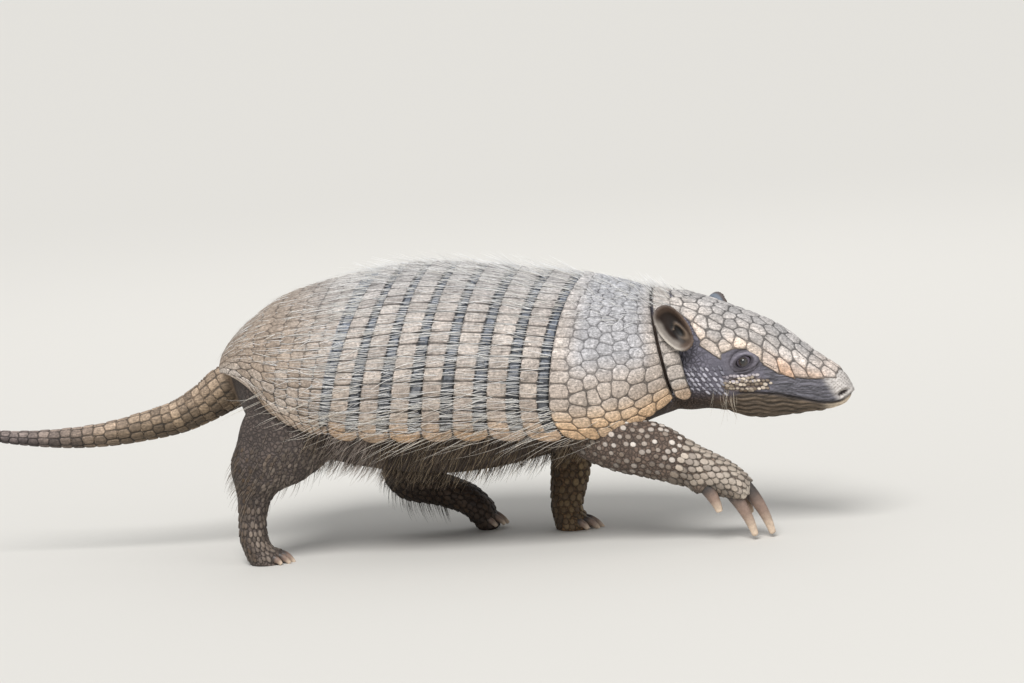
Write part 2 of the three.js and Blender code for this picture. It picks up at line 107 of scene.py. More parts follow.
def unit(vectors: np.ndarray) -> np.ndarray:
    """Scales each vector to length one."""
    return vectors / np.maximum(np.linalg.norm(vectors, axis=-1, keepdims=True), 1e-9)


class Profile:
    """A smooth curve through keyed rows, as the solids have it: a row's first number is its key."""

    def __init__(self, rows: Sequence[Sequence[float]]) -> None:
        """Keeps the rows and the slope at each of them.

        Args:
            rows: Numbers for each station, the key first.
        """
        table = np.asarray(rows, float)
        self.keys, self.values = table[:, 0], table[:, 1:]
        secants = np.diff(self.values, axis=0) / np.diff(self.keys)[:, None]
        self.slopes = np.zeros_like(self.values)
        self.slopes[1:-1] = (secants[1:] + secants[:-1]) / 2

    def __call__(self, key: Real) -> np.ndarray:
        """Reads the curve.

        Args:
            key: Where to read, clamped to the rows' ends.

        Returns:
            One array for each value of a row.
        """
        key = np.clip(np.asarray(key, float), self.keys[0], self.keys[-1])
        at = np.clip(np.searchsorted(self.keys, key) - 1, 0, len(self.keys) - 2)
        span = (self.keys[at + 1] - self.keys[at])[..., None]
        p = (key - self.keys[at])[..., None] / span
        found = (
            (1 + 2 * p) * (1 - p) ** 2 * self.values[at]
            + p * (1 - p) ** 2 * span * self.slopes[at]
            + p * p * (3 - 2 * p) * self.values[at + 1]
            + p * p * (p - 1) * span * self.slopes[at + 1]
        )
        return np.moveaxis(found, -1, 0)


# ---------------------------------------------------------------- the animal's own shape


@dataclass(frozen=True)
class Hinge:
    """A hinge line between two plates: x on the flank and its forward sweep at ridge and rim."""

    x: float
    ridge: float
    rim: float
    power: float

    def at(self, t: np.ndarray) -> np.ndarray:
        """The line's x at t, which is 0 at the ridge and 1 at the left rim."""
        away = np.hypot(t, Trunk.RIDGE_ROUNDING) - Trunk.RIDGE_ROUNDING
        top = np.maximum(0, 1 - away / Trunk.FLANK_T) ** self.power
        low = np.maximum(0, (np.abs(t) - Trunk.FLANK_T) / (1 - Trunk.FLANK_T)) ** 2
        return self.x + self.ridge * top + self.rim * low


class Trunk:
    """The domed shell and the flesh under it."""

    RIM_ANGLE = math.radians(115)
    FLANK_LEVEL = 0.3
    POWER = 2.25
    LOBE = 0.035
    LOBE_POWER = 2.5
    FLESH_INSET = 5.6
    FLESH_RUN = (3, 330)
    FLANK_T = 0.78
    RIDGE_ROUNDING = 0.16
    HALF_GIRTH = 170.0  # from ridge to rim over the widest plates
    STATIONS = Profile(
        [
            (-2, 133, 128, 20, 118), (3, 144, 130, 38, 104), (12, 155, 129.5, 52, 92),
            (24, 165, 124, 63, 82), (40, 175.5, 107, 72, 74), (62, 183.5, 95, 79, 67),
            (90, 189.5, 87, 83.5, 59), (120, 194, 84, 85.5, 53), (155, 195, 83, 86, 50),
            (190, 191.5, 81.5, 85, 53), (225, 186, 79, 82, 60), (255, 182, 77.5, 77, 67),
            (282, 176, 82, 69, 75), (302, 170, 91, 59, 82), (318, 167, 98, 49, 86),
            (334, 160, 98, 40, 89),
        ]
    )
    HINGES = (
        Hinge(79.5, 36, 1, 1.15),
        Hinge(100, 32, 1, 1.15),
        Hinge(121.5, 28, 1, 1.15),
        Hinge(143.5, 25, 1, 1.2),
        Hinge(165, 23, 1, 1.2),
        Hinge(188, 22, 3, 1.35),
        Hinge(210.5, 22, 7, 1.5),
        Hinge(230.5, 23, 13, 1.6),
    )

    @classmethod
    def shell(cls, x: np.ndarray, t: np.ndarray, offset: Real) -> np.ndarray:
        """A point of the shell.

        Args:
            x: Distance from the rump.
            t: From -1 at the right rim over 0 at the ridge to 1 at the left rim.
            offset: Height over the shell's outer face.

        Returns:
            Points, one row each.
        """
        ridge, rim, half, _ = cls.STATIONS(x)
        middle = rim + cls.FLANK_LEVEL * (ridge - rim)
        power = 2 / cls.POWER
        angle = t * cls.RIM_ANGLE
        rise = signed_power(np.cos(angle), power)
        below = (middle - rim) / abs(math.cos(cls.RIM_ANGLE)) ** power
        reach = np.where(rise > 0, ridge - middle + offset, below)
        side = (half + offset) * signed_power(np.sin(angle), power)
        return stacked(x, side, middle + reach * rise)

    @classmethod
    def flesh(cls, run: np.ndarray, turn: np.ndarray, pinch: Real) -> np.ndarray:
        """A point of the flesh, lowered to a lid where the shell hides its top.

        Args:
            run: From 0 at the rump to 1 at the neck.
            turn: From 0 at the back to half a turn at the belly.
            pinch: Share of the full girth, which falls to 0 at both ends.

        Returns:
            Points, one row each.
        """
        x = cls.FLESH_RUN[0] + (cls.FLESH_RUN[1] - cls.FLESH_RUN[0]) * run
        ridge, rim, half, belly = cls.STATIONS(x)
        middle = rim + cls.FLANK_LEVEL * (ridge - rim)
        up = np.cos(turn)
        power = np.where(up > 0, 2 / cls.POWER, 1)
        hidden = ramp(28, 60, x) * (1 - ramp(262, 292, x))
        lid = (ridge - middle - cls.FLESH_INSET) * (1 - 0.8 * hidden)
        reach = np.where(up > 0, lid, middle - belly)
        side = pinch * (half - cls.FLESH_INSET) * signed_power(np.sin(turn), power)
        return stacked(x, side, middle + pinch * reach * signed_power(up, power))

    @staticmethod
    def rear_margin(t: np.ndarray) -> np.ndarray:
        """The x of the pelvic shield's rear edge at t."""
        return 1 + 4 * t**2 + 22 * np.clip((np.abs(t) - 0.8) / 0.2, 0, 1) ** 2


class Head:
    """The head on its own axis, turned a little to the right."""

    ORIGIN = (310.0, 0.0)
    YAW = math.radians(-14)
    EYE = (61.3, 26.0, 121.0)
    EYE_RADIUS = 5.4
    STATIONS = Profile(
        [
            (-6, 168, 90, 34, 130), (4, 168, 86, 36.5, 128), (15, 165, 84.5, 37.5, 126),
            (30, 160.5, 85.5, 37, 122), (45, 155, 83, 34.5, 119), (60, 149.5, 78.5, 30.5, 116),
            (75, 143, 79, 25, 111.5), (90, 133, 80.5, 20.5, 107), (105, 121.5, 82, 16.5, 102.5),
            (117, 113.5, 84.5, 13.5, 99), (126, 107, 88, 10.5, 97), (131, 101.5, 92.5, 6, 96),
        ]
    )
    SHIELD_RUN = (8, 121)
    SHIELD_MARGIN = Profile(
        [(8, 44), (24, 47), (33, 65), (42, 78), (62, 66), (79, 81), (95, 84), (108, 74), (121, 55)]
    )
    MOUTH = Profile(
        [(46, 94), (56, 99.5), (74, 98.5), (90, 95.5), (102, 92), (114, 89.5), (123, 90.5), (131, 95)]
    )

    @classmethod
    def out(cls, along: Real, side: Real, height: Real) -> np.ndarray:
        """Points of the animal from distance along the head, side and height."""
        c, s = math.cos(cls.YAW), math.sin(cls.YAW)
        x = cls.ORIGIN[0] + along * c - side * s
        y = cls.ORIGIN[1] + along * s + side * c
        return stacked(x, y, height)

    @staticmethod
    def place(along: Real, side: int, height: Real) -> tuple[Real, Real]:
        """Where a spot of the cheeks lies on the unwrap of scales and hair."""
        return 0.1 + along / 160, 0.5 + 0.2 * side + (height - 100) / 200

    @classmethod
    def own(cls, points: np.ndarray) -> tuple[np.ndarray, np.ndarray, np.ndarray]:
        """Distance along the head, side and height of the animal's points."""
        c, s = math.cos(cls.YAW), math.sin(cls.YAW)
        x, y = points[..., 0] - cls.ORIGIN[0], points[..., 1] - cls.ORIGIN[1]
        return x * c + y * s, y * c - x * s, points[..., 2]

    @classmethod
    def skin(cls, along: np.ndarray, turn: np.ndarray, offset: Real, pinch: Real) -> np.ndarray:
        """A point of the head.

        Args:
            along: Distance along the head.
            turn: 0 on top, half a turn under the jaw.
            offset: Height over the surface.
            pinch: Share of the full girth.

        Returns:
            Points, one row each.
        """
        top, under, half, middle = cls.STATIONS(along)
        up = np.cos(turn)
        reach = np.where(up > 0, top - middle, middle - under) + offset
        power = np.where(up > 0, 0.95, 0.88)
        side = pinch * (half + offset) * signed_power(np.sin(turn), 0.9)
        return cls.out(along, side, middle + pinch * reach * signed_power(up, power))


class Limb:
    """A bent tapering body: rows of x, y, z, half depth, half width and the section's slope."""

    def __init__(self, rows: Sequence[Sequence[float]]) -> None:
        """Keeps the curves through the rows.

        Args:
            rows: Stations from the body to the tip.
        """
        count = len(rows) - 1
        self.curve = Profile([(i / count, *row) for i, row in enumerate(rows)])
        table = np.asarray(rows, float)
        self.length = float(np.linalg.norm(np.diff(table[:, :3], axis=0), axis=1).sum())

    def heading(self, run: Real) -> np.ndarray:
        """The direction of the middle line."""
        step = 0.01
        return unit(stacked(*self.curve(run + step)[:3]) - stacked(*self.curve(run - step)[:3]))

    def skin(self, run: Real, turn: Real, pinch: Real) -> np.ndarray:
        """A point of the surface; turn is 0 at the front of a leg, or under the tail."""
        x, y, z, deep, wide, *slope = self.curve(run)
        centre = stacked(x, y, z)
        if slope:
            angle = np.radians(slope[0])
            front = stacked(np.cos(angle), 0, np.sin(angle))
            side = np.broadcast_to([0.0, 1.0, 0.0], front.shape)
        else:
            heading = self.heading(run)
            side = unit(np.array([0, 1, 0]) - heading * heading[..., 1:2])
            front = np.cross(heading, side)
        return (
            centre
            + front * (pinch * deep * np.cos(turn))[..., None]
            + side * (pinch * wide * np.sin(turn))[..., None]
        )


@dataclass(frozen=True)
class ClawForm:
    """A claw: its root, heading from straight ahead, length, half height and droop in degrees."""

    at: tuple[float, float, float]
    heading: float
    length: float
    root: float
    droop: tuple[float, float]
    blunt: float = 0.55

    def limb(self) -> Limb:
        """The claw as a bent body."""
        steps, thin = 6, 0.78
        turn = math.radians(self.heading)
        first, last = self.droop
        rows = []
        point = np.array(self.at, float)
        for i in range(steps + 1):
            share = i / steps
            slope = math.radians(first + (last - first) * share)
            radius = self.root * (1 - self.blunt * share**1.6)
            rows.append((*point, radius, radius * thin))
            ahead = np.array([math.cos(turn), math.sin(turn), 0]) * math.cos(slope)
            point = point + (ahead + np.array([0, 0, math.sin(slope)])) * self.length / steps
        return Limb(rows)


@dataclass(frozen=True)
class Leg:
    """One leg: its skin's colours, its stations and its claws from the inner digit to the outer."""

    name: str
    skin: tuple[str, str]
    rows: tuple[tuple[float, ...], ...]
    root: float
    droop: tuple[float, float]
    claws: tuple[tuple[tuple[float, float, float], float, float], ...]

    def limb(self) -> Limb:
        """The leg without its claws."""
        return Limb(self.rows)

    def claw_forms(self) -> list[ClawForm]:
        """The claws' shapes, in order."""
        return [ClawForm(at, turn, length, self.root, self.droop) for at, turn, length in self.claws]


LEGS = (
    Leg(
        "hind_right",
        ("4C423D", "594E47"),
        (
            (60, -36, 124, 26, 16, 0), (58, -45, 102, 40, 20, 0), (51.5, -47.5, 84, 39.5, 20, 0),
            (43, -49, 73, 35, 18, 0), (38, -49, 65, 30.5, 16, 0), (32.5, -49, 57, 23.5, 14.5, 0),
            (24, -48.5, 49.5, 13.8, 12, 0), (20, -48, 36, 9.8, 11, 0), (19, -47, 20, 9.5, 11.5, 0),
            (22, -46.5, 9, 9.8, 12.5, 0), (27, -46, -1, 11, 13, 0), (29, -46, -8, 8, 12, 0),
        ),
        2.7,
        (-15, -60),
        (
            ((33, -36.5, 5), 8, 8),
            ((36, -41, 5.5), 3, 10),
            ((37, -46, 5.5), 0, 11),
            ((35.5, -51, 5.5), -5, 10),
            ((32, -55.5, 5), -12, 8),
        ),
    ),
    # The far hind leg stands in the body's shadow, so its colours are painted dark as shade.
    Leg(
        "hind_left",
        ("2C1E15", "38281C"),
        (
            (124, 34, 108, 22, 14, 0), (123, 43, 88, 28, 17, 0), (120, 48, 67, 23.5, 17, 0),
            (118, 50, 53, 19.5, 14.5, 0), (119, 50, 42, 19, 13, 15), (124, 50, 34.5, 16, 12.5, 40),
            (136.5, 50, 30, 12, 11.5, 60), (149, 50, 25.5, 11, 12, 62), (159, 50, 20.5, 10.5, 12.5, 60),
            (167.5, 50, 12.5, 9.5, 12.5, 45), (171, 50, 3, 8, 12, 20), (172, 50, -5, 6, 11, 10),
        ),
        2.7,
        (-15, -60),
        (
            ((170, 40.5, 8), -12, 10),
            ((173, 45, 9.5), -5, 12.5),
            ((174.5, 50, 9.5), 0, 13),
            ((173, 55, 9.5), 5, 12.5),
            ((170, 59.5, 8), 12, 10),
        ),
    ),
    # The far foreleg stands in shadow, so its colours are painted darker as shade.
    Leg(
        "fore_left",
        ("57432F", "6A5238"),
        (
            (242, 26, 112, 20, 12, 0), (239, 33, 92, 21, 16, 0), (236, 36, 74, 16, 15, 0),
            (234.5, 37, 58, 14, 13, 0), (233.5, 36, 46, 14, 11.5, 0), (231.5, 34, 32, 12.8, 11, 0),
            (229, 32, 18, 11, 11, 0), (229.5, 31, 8, 10, 12.5, 0), (233, 30.5, -1, 11.5, 13.5, 0),
            (234, 30.5, -7, 10, 12.5, 0),
        ),
        3.0,
        (-15, -55),
        (
            ((236, 21, 6), -14, 10),
            ((240, 26, 6.5), -6, 13),
            ((241, 31, 7), 0, 15),
            ((239.5, 36, 6.5), 7, 12),
            ((236, 40.5, 6), 14, 9),
        ),
    ),
    Leg(
        "fore_right",
        ("5E4F45", "7A6C60"),
        (
            (250, -30, 116, 17, 10, 5), (254, -41, 99, 22, 15, 15), (259, -48, 86, 24, 16.5, 35),
            (269, -52, 77.5, 22.5, 16.5, 52), (283, -54, 70, 20, 16, 62), (297, -55, 66, 19.3, 15, 62),
            (309, -54, 60.5, 17.5, 14, 62), (321.5, -52.5, 54.2, 14.6, 13, 62),
            (332.5, -50.5, 49.3, 13, 12.5, 60), (343.5, -48, 43.5, 11.8, 13.5, 55),
            (353, -46, 37, 9.5, 14, 48), (359, -45, 30, 5.5, 12, 40),
        ),
        4.8,
        (-52, -78),
        (
            ((352, -34.5, 33), 6, 20),
            ((358, -39.5, 36), 3, 37),
            ((358.5, -45.5, 36.5), 0, 38.5),
            ((347.5, -52, 36), -3, 37.5),
            ((332, -58, 40), -6, 21),
        ),
    ),
)

TAIL = Limb(
    [
        (22, 0, 124, 15, 15), (2, 0, 117, 15.5, 15.5), (-16, 0, 106.5, 13, 13),
        (-34, 0, 98.5, 11.2, 11.2), (-56, 0.5, 93.3, 9.8, 9.8), (-84, 1.5, 88.6, 8, 8),
        (-112, 3, 87, 6.6, 6.6), (-140, 4, 88, 5, 5), (-165, 4, 91, 3.7, 3.7),
        (-190, 3, 96.5, 2.5, 2.5), (-212, 1, 102.5, 1.4, 1.4),
    ]
)


class Place:
    """Turns the animal's millimetres into metres of the row frame."""

    shift = np.zeros(3)

    @classmethod
    def find(cls) -> None:
        """Takes the shift between the two frames from the right eye's solid."""
        low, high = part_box("eye_right")
        along, side, height = Head.EYE
        cls.shift = np.array((low + high) / 2) / MM - Head.out(along, -side, height)

    @classmethod
    def row(cls, points: np.ndarray) -> np.ndarray:
        """The same points in metres of the row frame."""
        return (points + cls.shift) * MM


# ---------------------------------------------------------------- meshes


def read(
    elements: bpy.types.bpy_prop_collection, key: str, width: int = 1, kind: type = np.float32
) -> np.ndarray:
    """What every element of a collection keeps under a key: a number or a row of numbers."""
    found = np.empty(len(elements) * width, kind)
    elements.foreach_get(key, found)
    return found.reshape(-1, width) if width > 1 else found


def read_points(mesh: bpy.types.Mesh) -> np.ndarray:
    """The mesh's vertices, one row each."""
    return read(mesh.vertices, "co", 3).astype(float)


def read_value(mesh: bpy.types.Mesh, name: str) -> np.ndarray:
    """The number that each vertex keeps under a name."""
    return read(mesh.attributes[name].data, "value").astype(float)


def write_points(mesh: bpy.types.Mesh, points: np.ndarray) -> None:
    """Moves the mesh's vertices."""
    mesh.vertices.foreach_set("co", np.ascontiguousarray(points, np.float32).ravel())
    mesh.update()


def write_value(mesh: bpy.types.Mesh, name: str, values: np.ndarray) -> None:
    """Keeps a number for each vertex as a named attribute."""
    layer = mesh.attributes.get(name) or mesh.attributes.new(name, "FLOAT", "POINT")
    layer.data.foreach_set("value", np.ascontiguousarray(values, np.float32))


def write_tint(mesh: bpy.types.Mesh, colours: np.ndarray) -> None:
    """Keeps a linear colour for each vertex as the attribute "tint"."""
    layer = mesh.attributes.get("tint") or mesh.attributes.new("tint", "FLOAT_COLOR", "POINT")
    rows = np.concatenate([colours, np.ones((len(colours), 1))], 1)
    layer.data.foreach_set("color", np.ascontiguousarray(rows, np.float32).ravel())


def write_unwrap(mesh: bpy.types.Mesh, places: np.ndarray) -> None:
    """Writes the map named OFBake from one place for each vertex."""
    layer = mesh.uv_layers.get("OFBake") or mesh.uv_layers.new(name="OFBake")
    corners = read(mesh.loops, "vertex_index", kind=np.int32)
    layer.data.foreach_set("uv", np.ascontiguousarray(places[corners], np.float32).ravel())


def mesh_of(bm: bmesh.types.BMesh, name: str, outward: bool = True) -> bpy.types.Mesh:
    """Ends a bmesh as a mesh, with its faces turned outwards if that is asked."""
    if outward:
        bmesh.ops.recalc_face_normals(bm, faces=bm.faces)
    mesh = bpy.data.meshes.new(name)
    bm.to_mesh(mesh)
    bm.free()
    return mesh


def sphere(name: str, around: int, along: int, radius: float = 1) -> bpy.types.Mesh:
    """A round ball with its poles on Z."""
    bm = bmesh.new()
    bmesh.ops.create_uvsphere(bm, u_segments=around, v_segments=along, radius=radius)
    return mesh_of(bm, name)


def joined(name: str, meshes: Sequence[bpy.types.Mesh], outward: bool = False) -> bpy.types.Mesh:
    """One mesh from several, which are removed."""
    bm = bmesh.new()
    for mesh in meshes:
        bm.from_mesh(mesh)
        bpy.data.meshes.remove(mesh)
    return mesh_of(bm, name, outward)


def loft(name: str, place: Placing, around: int, along: int) -> bpy.types.Mesh:
    """A closed body lofted from pole to pole.

    Args:
        name: The mesh's name.
        place: Gives points from run (0 to 1), turn (radians) and pinch (0 to 1).
        around: Facets round the body.
        along: Facets from end to end.

    Returns:
        The mesh, in the animal's millimetres.
    """
    end_rounding = 2.2
    mesh = sphere(name, around, along)
    x, y, z = read_points(mesh).T
    pinch = np.minimum(1, end_rounding * np.hypot(x, y))
    write_points(mesh, place((1 - z) / 2, np.arctan2(y, x), pinch))
    return joined(name, [mesh], outward=True)


def placed(name: str, data: bpy.types.ID) -> bpy.types.Object:
    """A new object in the scene."""
    made = bpy.data.objects.new(name, data)
    bpy.context.scene.collection.objects.link(made)
    return made


def baked(mesh: bpy.types.Mesh, modifiers: Sequence[tuple[str, dict]]) -> bpy.types.Mesh:
    """The mesh with modifiers applied.

    Args:
        mesh: The mesh, which is replaced.
        modifiers: Each modifier's type and settings, in order.

    Returns:
        The new mesh, under the old one's name.
    """
    carrier = placed("carrier", mesh)
    for kind, settings in modifiers:
        modifier = carrier.modifiers.new(kind, kind)
        for key, value in settings.items():
            setattr(modifier, key, value)
    graph = bpy.context.evaluated_depsgraph_get()
    made = bpy.data.meshes.new_from_object(
        carrier.evaluated_get(graph), preserve_all_data_layers=True, depsgraph=graph
    )
    name = mesh.name
    bpy.data.objects.remove(carrier)
    bpy.data.meshes.remove(mesh)
    made.name = name
    return made


def copies(mesh: bpy.types.Mesh, count: int) -> bpy.types.Mesh:
    """Many copies of a small mesh in one, all at its own place and in order."""
    settings = {
        "count": count,
        "use_relative_offset": False,
        "use_constant_offset": True,
        "constant_offset_displace": (0, 0, 0),
    }
    return baked(mesh, [("ARRAY", settings)])


def piece(mesh: bpy.types.Mesh, finish: bpy.types.Material) -> bpy.types.Object:
    """Puts a mesh of the animal's millimetres in the scene as a finished piece.

    Args:
        mesh: The mesh.
        finish: Its material.

    Returns:
        The object, at the origin of the row frame.
    """
    write_points(mesh, Place.row(read_points(mesh)))
    mesh.materials.clear()
    mesh.materials.append(finish)
    mesh.shade_smooth()
    made = placed(mesh.name, mesh)
    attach(made, "root")
    mesh.calc_loop_triangles()
    LOG.info("%s: %d triangles", mesh.name, len(mesh.loop_triangles))
    return made


# ---------------------------------------------------------------- scutes


@dataclass(frozen=True)
class Relief:
    """How one scute stands out: groove width, rounds of smoothing, rings of inset and rise."""

    groove: float
    rounding: int
    rings: tuple[tuple[float, float], ...]

    @property
    def height(self) -> float:
        """How far the scute's crown stands over the groove."""
        return sum(rise for _, rise in self.rings)


class ScuteSheet:
    """A flat layout of scutes that is bent over the body."""

    THICKNESS = 2.4
    LONGEST_EDGE = 2.5

    def __init__(self, bm: bmesh.types.BMesh) -> None:
        """Takes flat cells that face up.

        Args:
            bm: Cells in the plane, in millimetres.
        """
        self.bm = bm
        self.tone = bm.faces.layers.float.new("tone")
        self.kind = bm.faces.layers.int.new("kind")

    @classmethod
    def grid(cls, columns: Sequence[float], rows: int, half: float) -> "ScuteSheet":
        """Rectangular cells.

        Args:
            columns: Where the columns' edges lie along the body.
            rows: How many rows there are from rim to rim.
            half: Half the sheet's width.

        Returns:
            The sheet.
        """
        bm = bmesh.new()
        bmesh.ops.create_grid(bm, x_segments=len(columns) - 1, y_segments=rows, size=1)
        for vert in bm.verts:
            column = round((vert.co.x + 1) / 2 * (len(columns) - 1))
            vert.co = Vector((columns[column], vert.co.y * half, 0))
        return cls(bm)

    @classmethod
    def mosaic(
        cls, seeds: np.ndarray, low: Vector, high: Vector, count: int | None = None
    ) -> "ScuteSheet":
        """Polygon cells, one round each seed, cut by the lines halfway to its neighbours.

        Args:
            seeds: Places in the plane, one row each.
            low: The layout's lowest corner.
            high: Its highest corner.
            count: How many of the seeds get a cell; the others only bound them.

        Returns:
            The sheet.
        """
        bm = bmesh.new()
        for seed in seeds[:count]:
            if not (low.x < seed[0] < high.x and low.y < seed[1] < high.y):
                continue
            near = seeds[np.argsort(np.hypot(*(seeds - seed).T))[1:14]]
            cell = bmesh.new()
            bmesh.ops.create_grid(cell, x_segments=1, y_segments=1, size=1)
            for vert in cell.verts:
                vert.co.x = low.x if vert.co.x < 0 else high.x
                vert.co.y = low.y if vert.co.y < 0 else high.y
            for other in near:
                bmesh.ops.bisect_plane(
                    cell,
                    geom=cell.verts[:] + cell.edges[:] + cell.faces[:],
                    plane_co=(*(seed + other) / 2, 0),
                    plane_no=(*(other - seed), 0),
                    clear_outer=True,
                )
            bm.from_mesh(mesh := mesh_of(cell, "cell", outward=False))
            bpy.data.meshes.remove(mesh)
        bmesh.ops.remove_doubles(bm, verts=bm.verts, dist=0.5)
        return cls(bm)

    def scallop(self, edges: Sequence[bmesh.types.BMEdge], bulge: float) -> None:
        """Rounds each edge of the free margin outwards into a small lobe."""
        middle = sum((v.co for v in self.bm.verts), Vector()) / len(self.bm.verts)
        for edge in edges:
            first, last = (v.co.copy() for v in edge.verts)
            outward = Vector((last.y - first.y, first.x - last.x, 0)).normalized()
            if outward.dot(first - middle) < 0:
                outward.negate()
            made = bmesh.ops.subdivide_edges(self.bm, edges=[edge], cuts=3)["geom_inner"]
            for vert in (v for v in made if isinstance(v, bmesh.types.BMVert)):
                share = (vert.co - first).length / max((last - first).length, 1e-6)
                vert.co += outward * bulge * math.sin(math.pi * share)

    def edges(self, test: Callable[[Vector], bool], over: float = 0) -> list[bmesh.types.BMEdge]:
        """The edges over a length whose two ends pass a test."""
        return [e for e in self.bm.edges if all(test(v.co) for v in e.verts) and e.calc_length() > over]

    def raise_scutes(
        self, reliefs: Sequence[Relief], kind: Callable[[bmesh.types.BMFace], int], seed: int = 7
    ) -> None:
        """Gives the sheet its thickness and stands a scute on each cell.

        Args:
            reliefs: One relief for each kind of scute.
            kind: Picks a cell's kind.
            seed: Starts the random tones of the scutes.
        """
        bm = self.bm
        chance = np.random.default_rng(seed)
        long = self.edges(lambda co: True, over=self.LONGEST_EDGE)
        bmesh.ops.subdivide_edges(bm, edges=long, cuts=2)
        cells = list(bm.faces)
        for cell in cells:
            cell[self.tone] = chance.random()
            cell[self.kind] = kind(cell) + 1
        base = bmesh.ops.extrude_face_region(bm, geom=cells, use_keep_orig=True)["geom"]
        bottom = [v for v in base if isinstance(v, bmesh.types.BMVert)]
        bmesh.ops.translate(bm, verts=bottom, vec=(0, 0, -self.THICKNESS))
        bmesh.ops.recalc_face_normals(bm, faces=bm.faces)
        for face in bm.faces:
            if face.normal.z <= 0.5:
                face[self.kind] = 0
        for index, relief in enumerate(reliefs, start=1):
            crowns = [f for f in bm.faces if f[self.kind] == index]
            bmesh.ops.inset_individual(bm, faces=crowns, thickness=relief.groove / 2, use_even_offset=False)
            corners = list({v for f in crowns for v in f.verts})
            for _ in range(relief.rounding):
                bmesh.ops.smooth_vert(
                    bm, verts=corners, factor=0.5, use_axis_x=True, use_axis_y=True, use_axis_z=True
                )
            for thickness, rise in relief.rings:
                bmesh.ops.inset_individual(
                    bm, faces=crowns, thickness=thickness, depth=rise, use_even_offset=False
                )

    def bent(
        self, name: str, place: Callable[[np.ndarray], np.ndarray], rise: float
    ) -> tuple[bpy.types.Mesh, np.ndarray]:
        """Ends the sheet as a mesh bent over the body.

        Args:
            name: The mesh's name.
            place: Turns flat points into the animal's points.
            rise: The highest scute's height, for the attribute "rise".

        Returns:
            The mesh, with its flat layout as the map OFBake, and its points before it was bent.
        """
        mesh = mesh_of(self.bm, name, outward=False)
        flat = read_points(mesh)
        low, high = flat.min(0), flat.max(0)
        span = (high - low)[:2].max()
        write_unwrap(mesh, 0.02 + 0.96 * (flat[:, :2] - low[:2]) / span)
        write_value(mesh, "rise", np.clip(flat[:, 2] / rise, 0, 1))
        write_points(mesh, place(flat))
        tones = read(mesh.attributes["tone"].data, "value")
        totals = read(mesh.polygons, "loop_total", kind=np.int32)
        shade = np.zeros(len(mesh.vertices))
        shade[read(mesh.loops, "vertex_index", kind=np.int32)] = np.repeat(tones, totals)
        write_value(mesh, "shade", shade)
        return mesh, flat


@dataclass
class ShellPlate:
    """One plate of the shell, as a layout of scutes between two margins."""

    name: str
    rear: Callable[[np.ndarray], np.ndarray]
    front: Callable[[np.ndarray], np.ndarray]
    length: float
    rear_lift: float = 0.9
    front_lift: float = -0.9
    half: float = Trunk.HALF_GIRTH
    strip_drop: float = 1.7

    def spot(self, flat: np.ndarray) -> tuple[np.ndarray, np.ndarray, np.ndarray]:
        """Share of the plate's length, t and x of flat points."""
        run = flat[:, 0] / self.length
        corner = np.abs(2 * np.clip(run, 0, 1) - 1) ** Trunk.LOBE_POWER
        level = flat[:, 1] / self.half
        t = level * (1 - Trunk.LOBE * corner * ramp(0.86, 1, np.abs(level)))
        x = self.rear(t) + (self.front(t) - self.rear(t)) * run
        return run, t, x

    def place(self, flat: np.ndarray) -> np.ndarray:
        """Bends flat points over the shell, with the strip set lower than the long scutes."""
        run, t, x = self.spot(flat)
        lift = self.rear_lift + (self.front_lift - self.rear_lift) * run
        lift = lift - self.strip_drop * self.in_strip(flat, run)
        return Trunk.shell(x, t, flat[:, 2] + lift - self.height())

    def height(self) -> float:
        """How deep the grooves lie under the plate's outer face."""
        return MOSAIC.height

    def in_strip(self, flat: np.ndarray, run: np.ndarray) -> np.ndarray:
        """1 for points of the strip along the plate's front and 0 for the others."""
        raise NotImplementedError

    def cells(self) -> ScuteSheet:
        """The plate's layout of scutes."""
        raise NotImplementedError

    def dress(self, mesh: bpy.types.Mesh, flat: np.ndarray) -> None:
        """Colours the plate.

        Args:
            mesh: The bent plate.
            flat: Its points before it was bent.
        """
        run, t, x = self.spot(flat)
        shade = read_value(mesh, "shade")
        strip = painted(linear(STRIP_BLUE), (STRIP_DARK, ramp(0.5, 1.0, np.abs(t))))
        strip = strip * (0.85 + 0.3 * shade)[:, None]
        colour = shell_tint(x, t, run, shade, self.name)
        write_tint(mesh, mix(colour, strip, self.in_strip(flat, run + 0.01)))

    def make(self, finish: bpy.types.Material) -> bpy.types.Object:
        """Builds the plate in place of its solid."""
        mesh, flat = self.cells().bent(f"{self.name}_scutes", self.place, self.height())
        self.dress(mesh, flat)
        made = piece(mesh, finish)
        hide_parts(self.name)
        return made


MOSAIC = Relief(0.4, 2, ((0.4, 0.5), (0.7, 0.3), (0.9, 0.12)))
RECTANGLE = Relief(0.5, 1, ((0.35, 0.5), (0.6, 0.3), (0.9, 0.1)))
STRIP = Relief(0.5, 1, ((0.4, 0.3), (0.8, 0.12)))

HORN = "B0A59D"
HORN_PALE = "CFC5BC"
# The grey of the shell's top is a painted reflection of the sky.
HORN_SKY_REFLECTION = "AEAEB0"
HORN_BROWN = "9D8975"
HORN_ORANGE = "C4A07A"
STRIP_BLUE = "868C97"
STRIP_DARK = "656362"


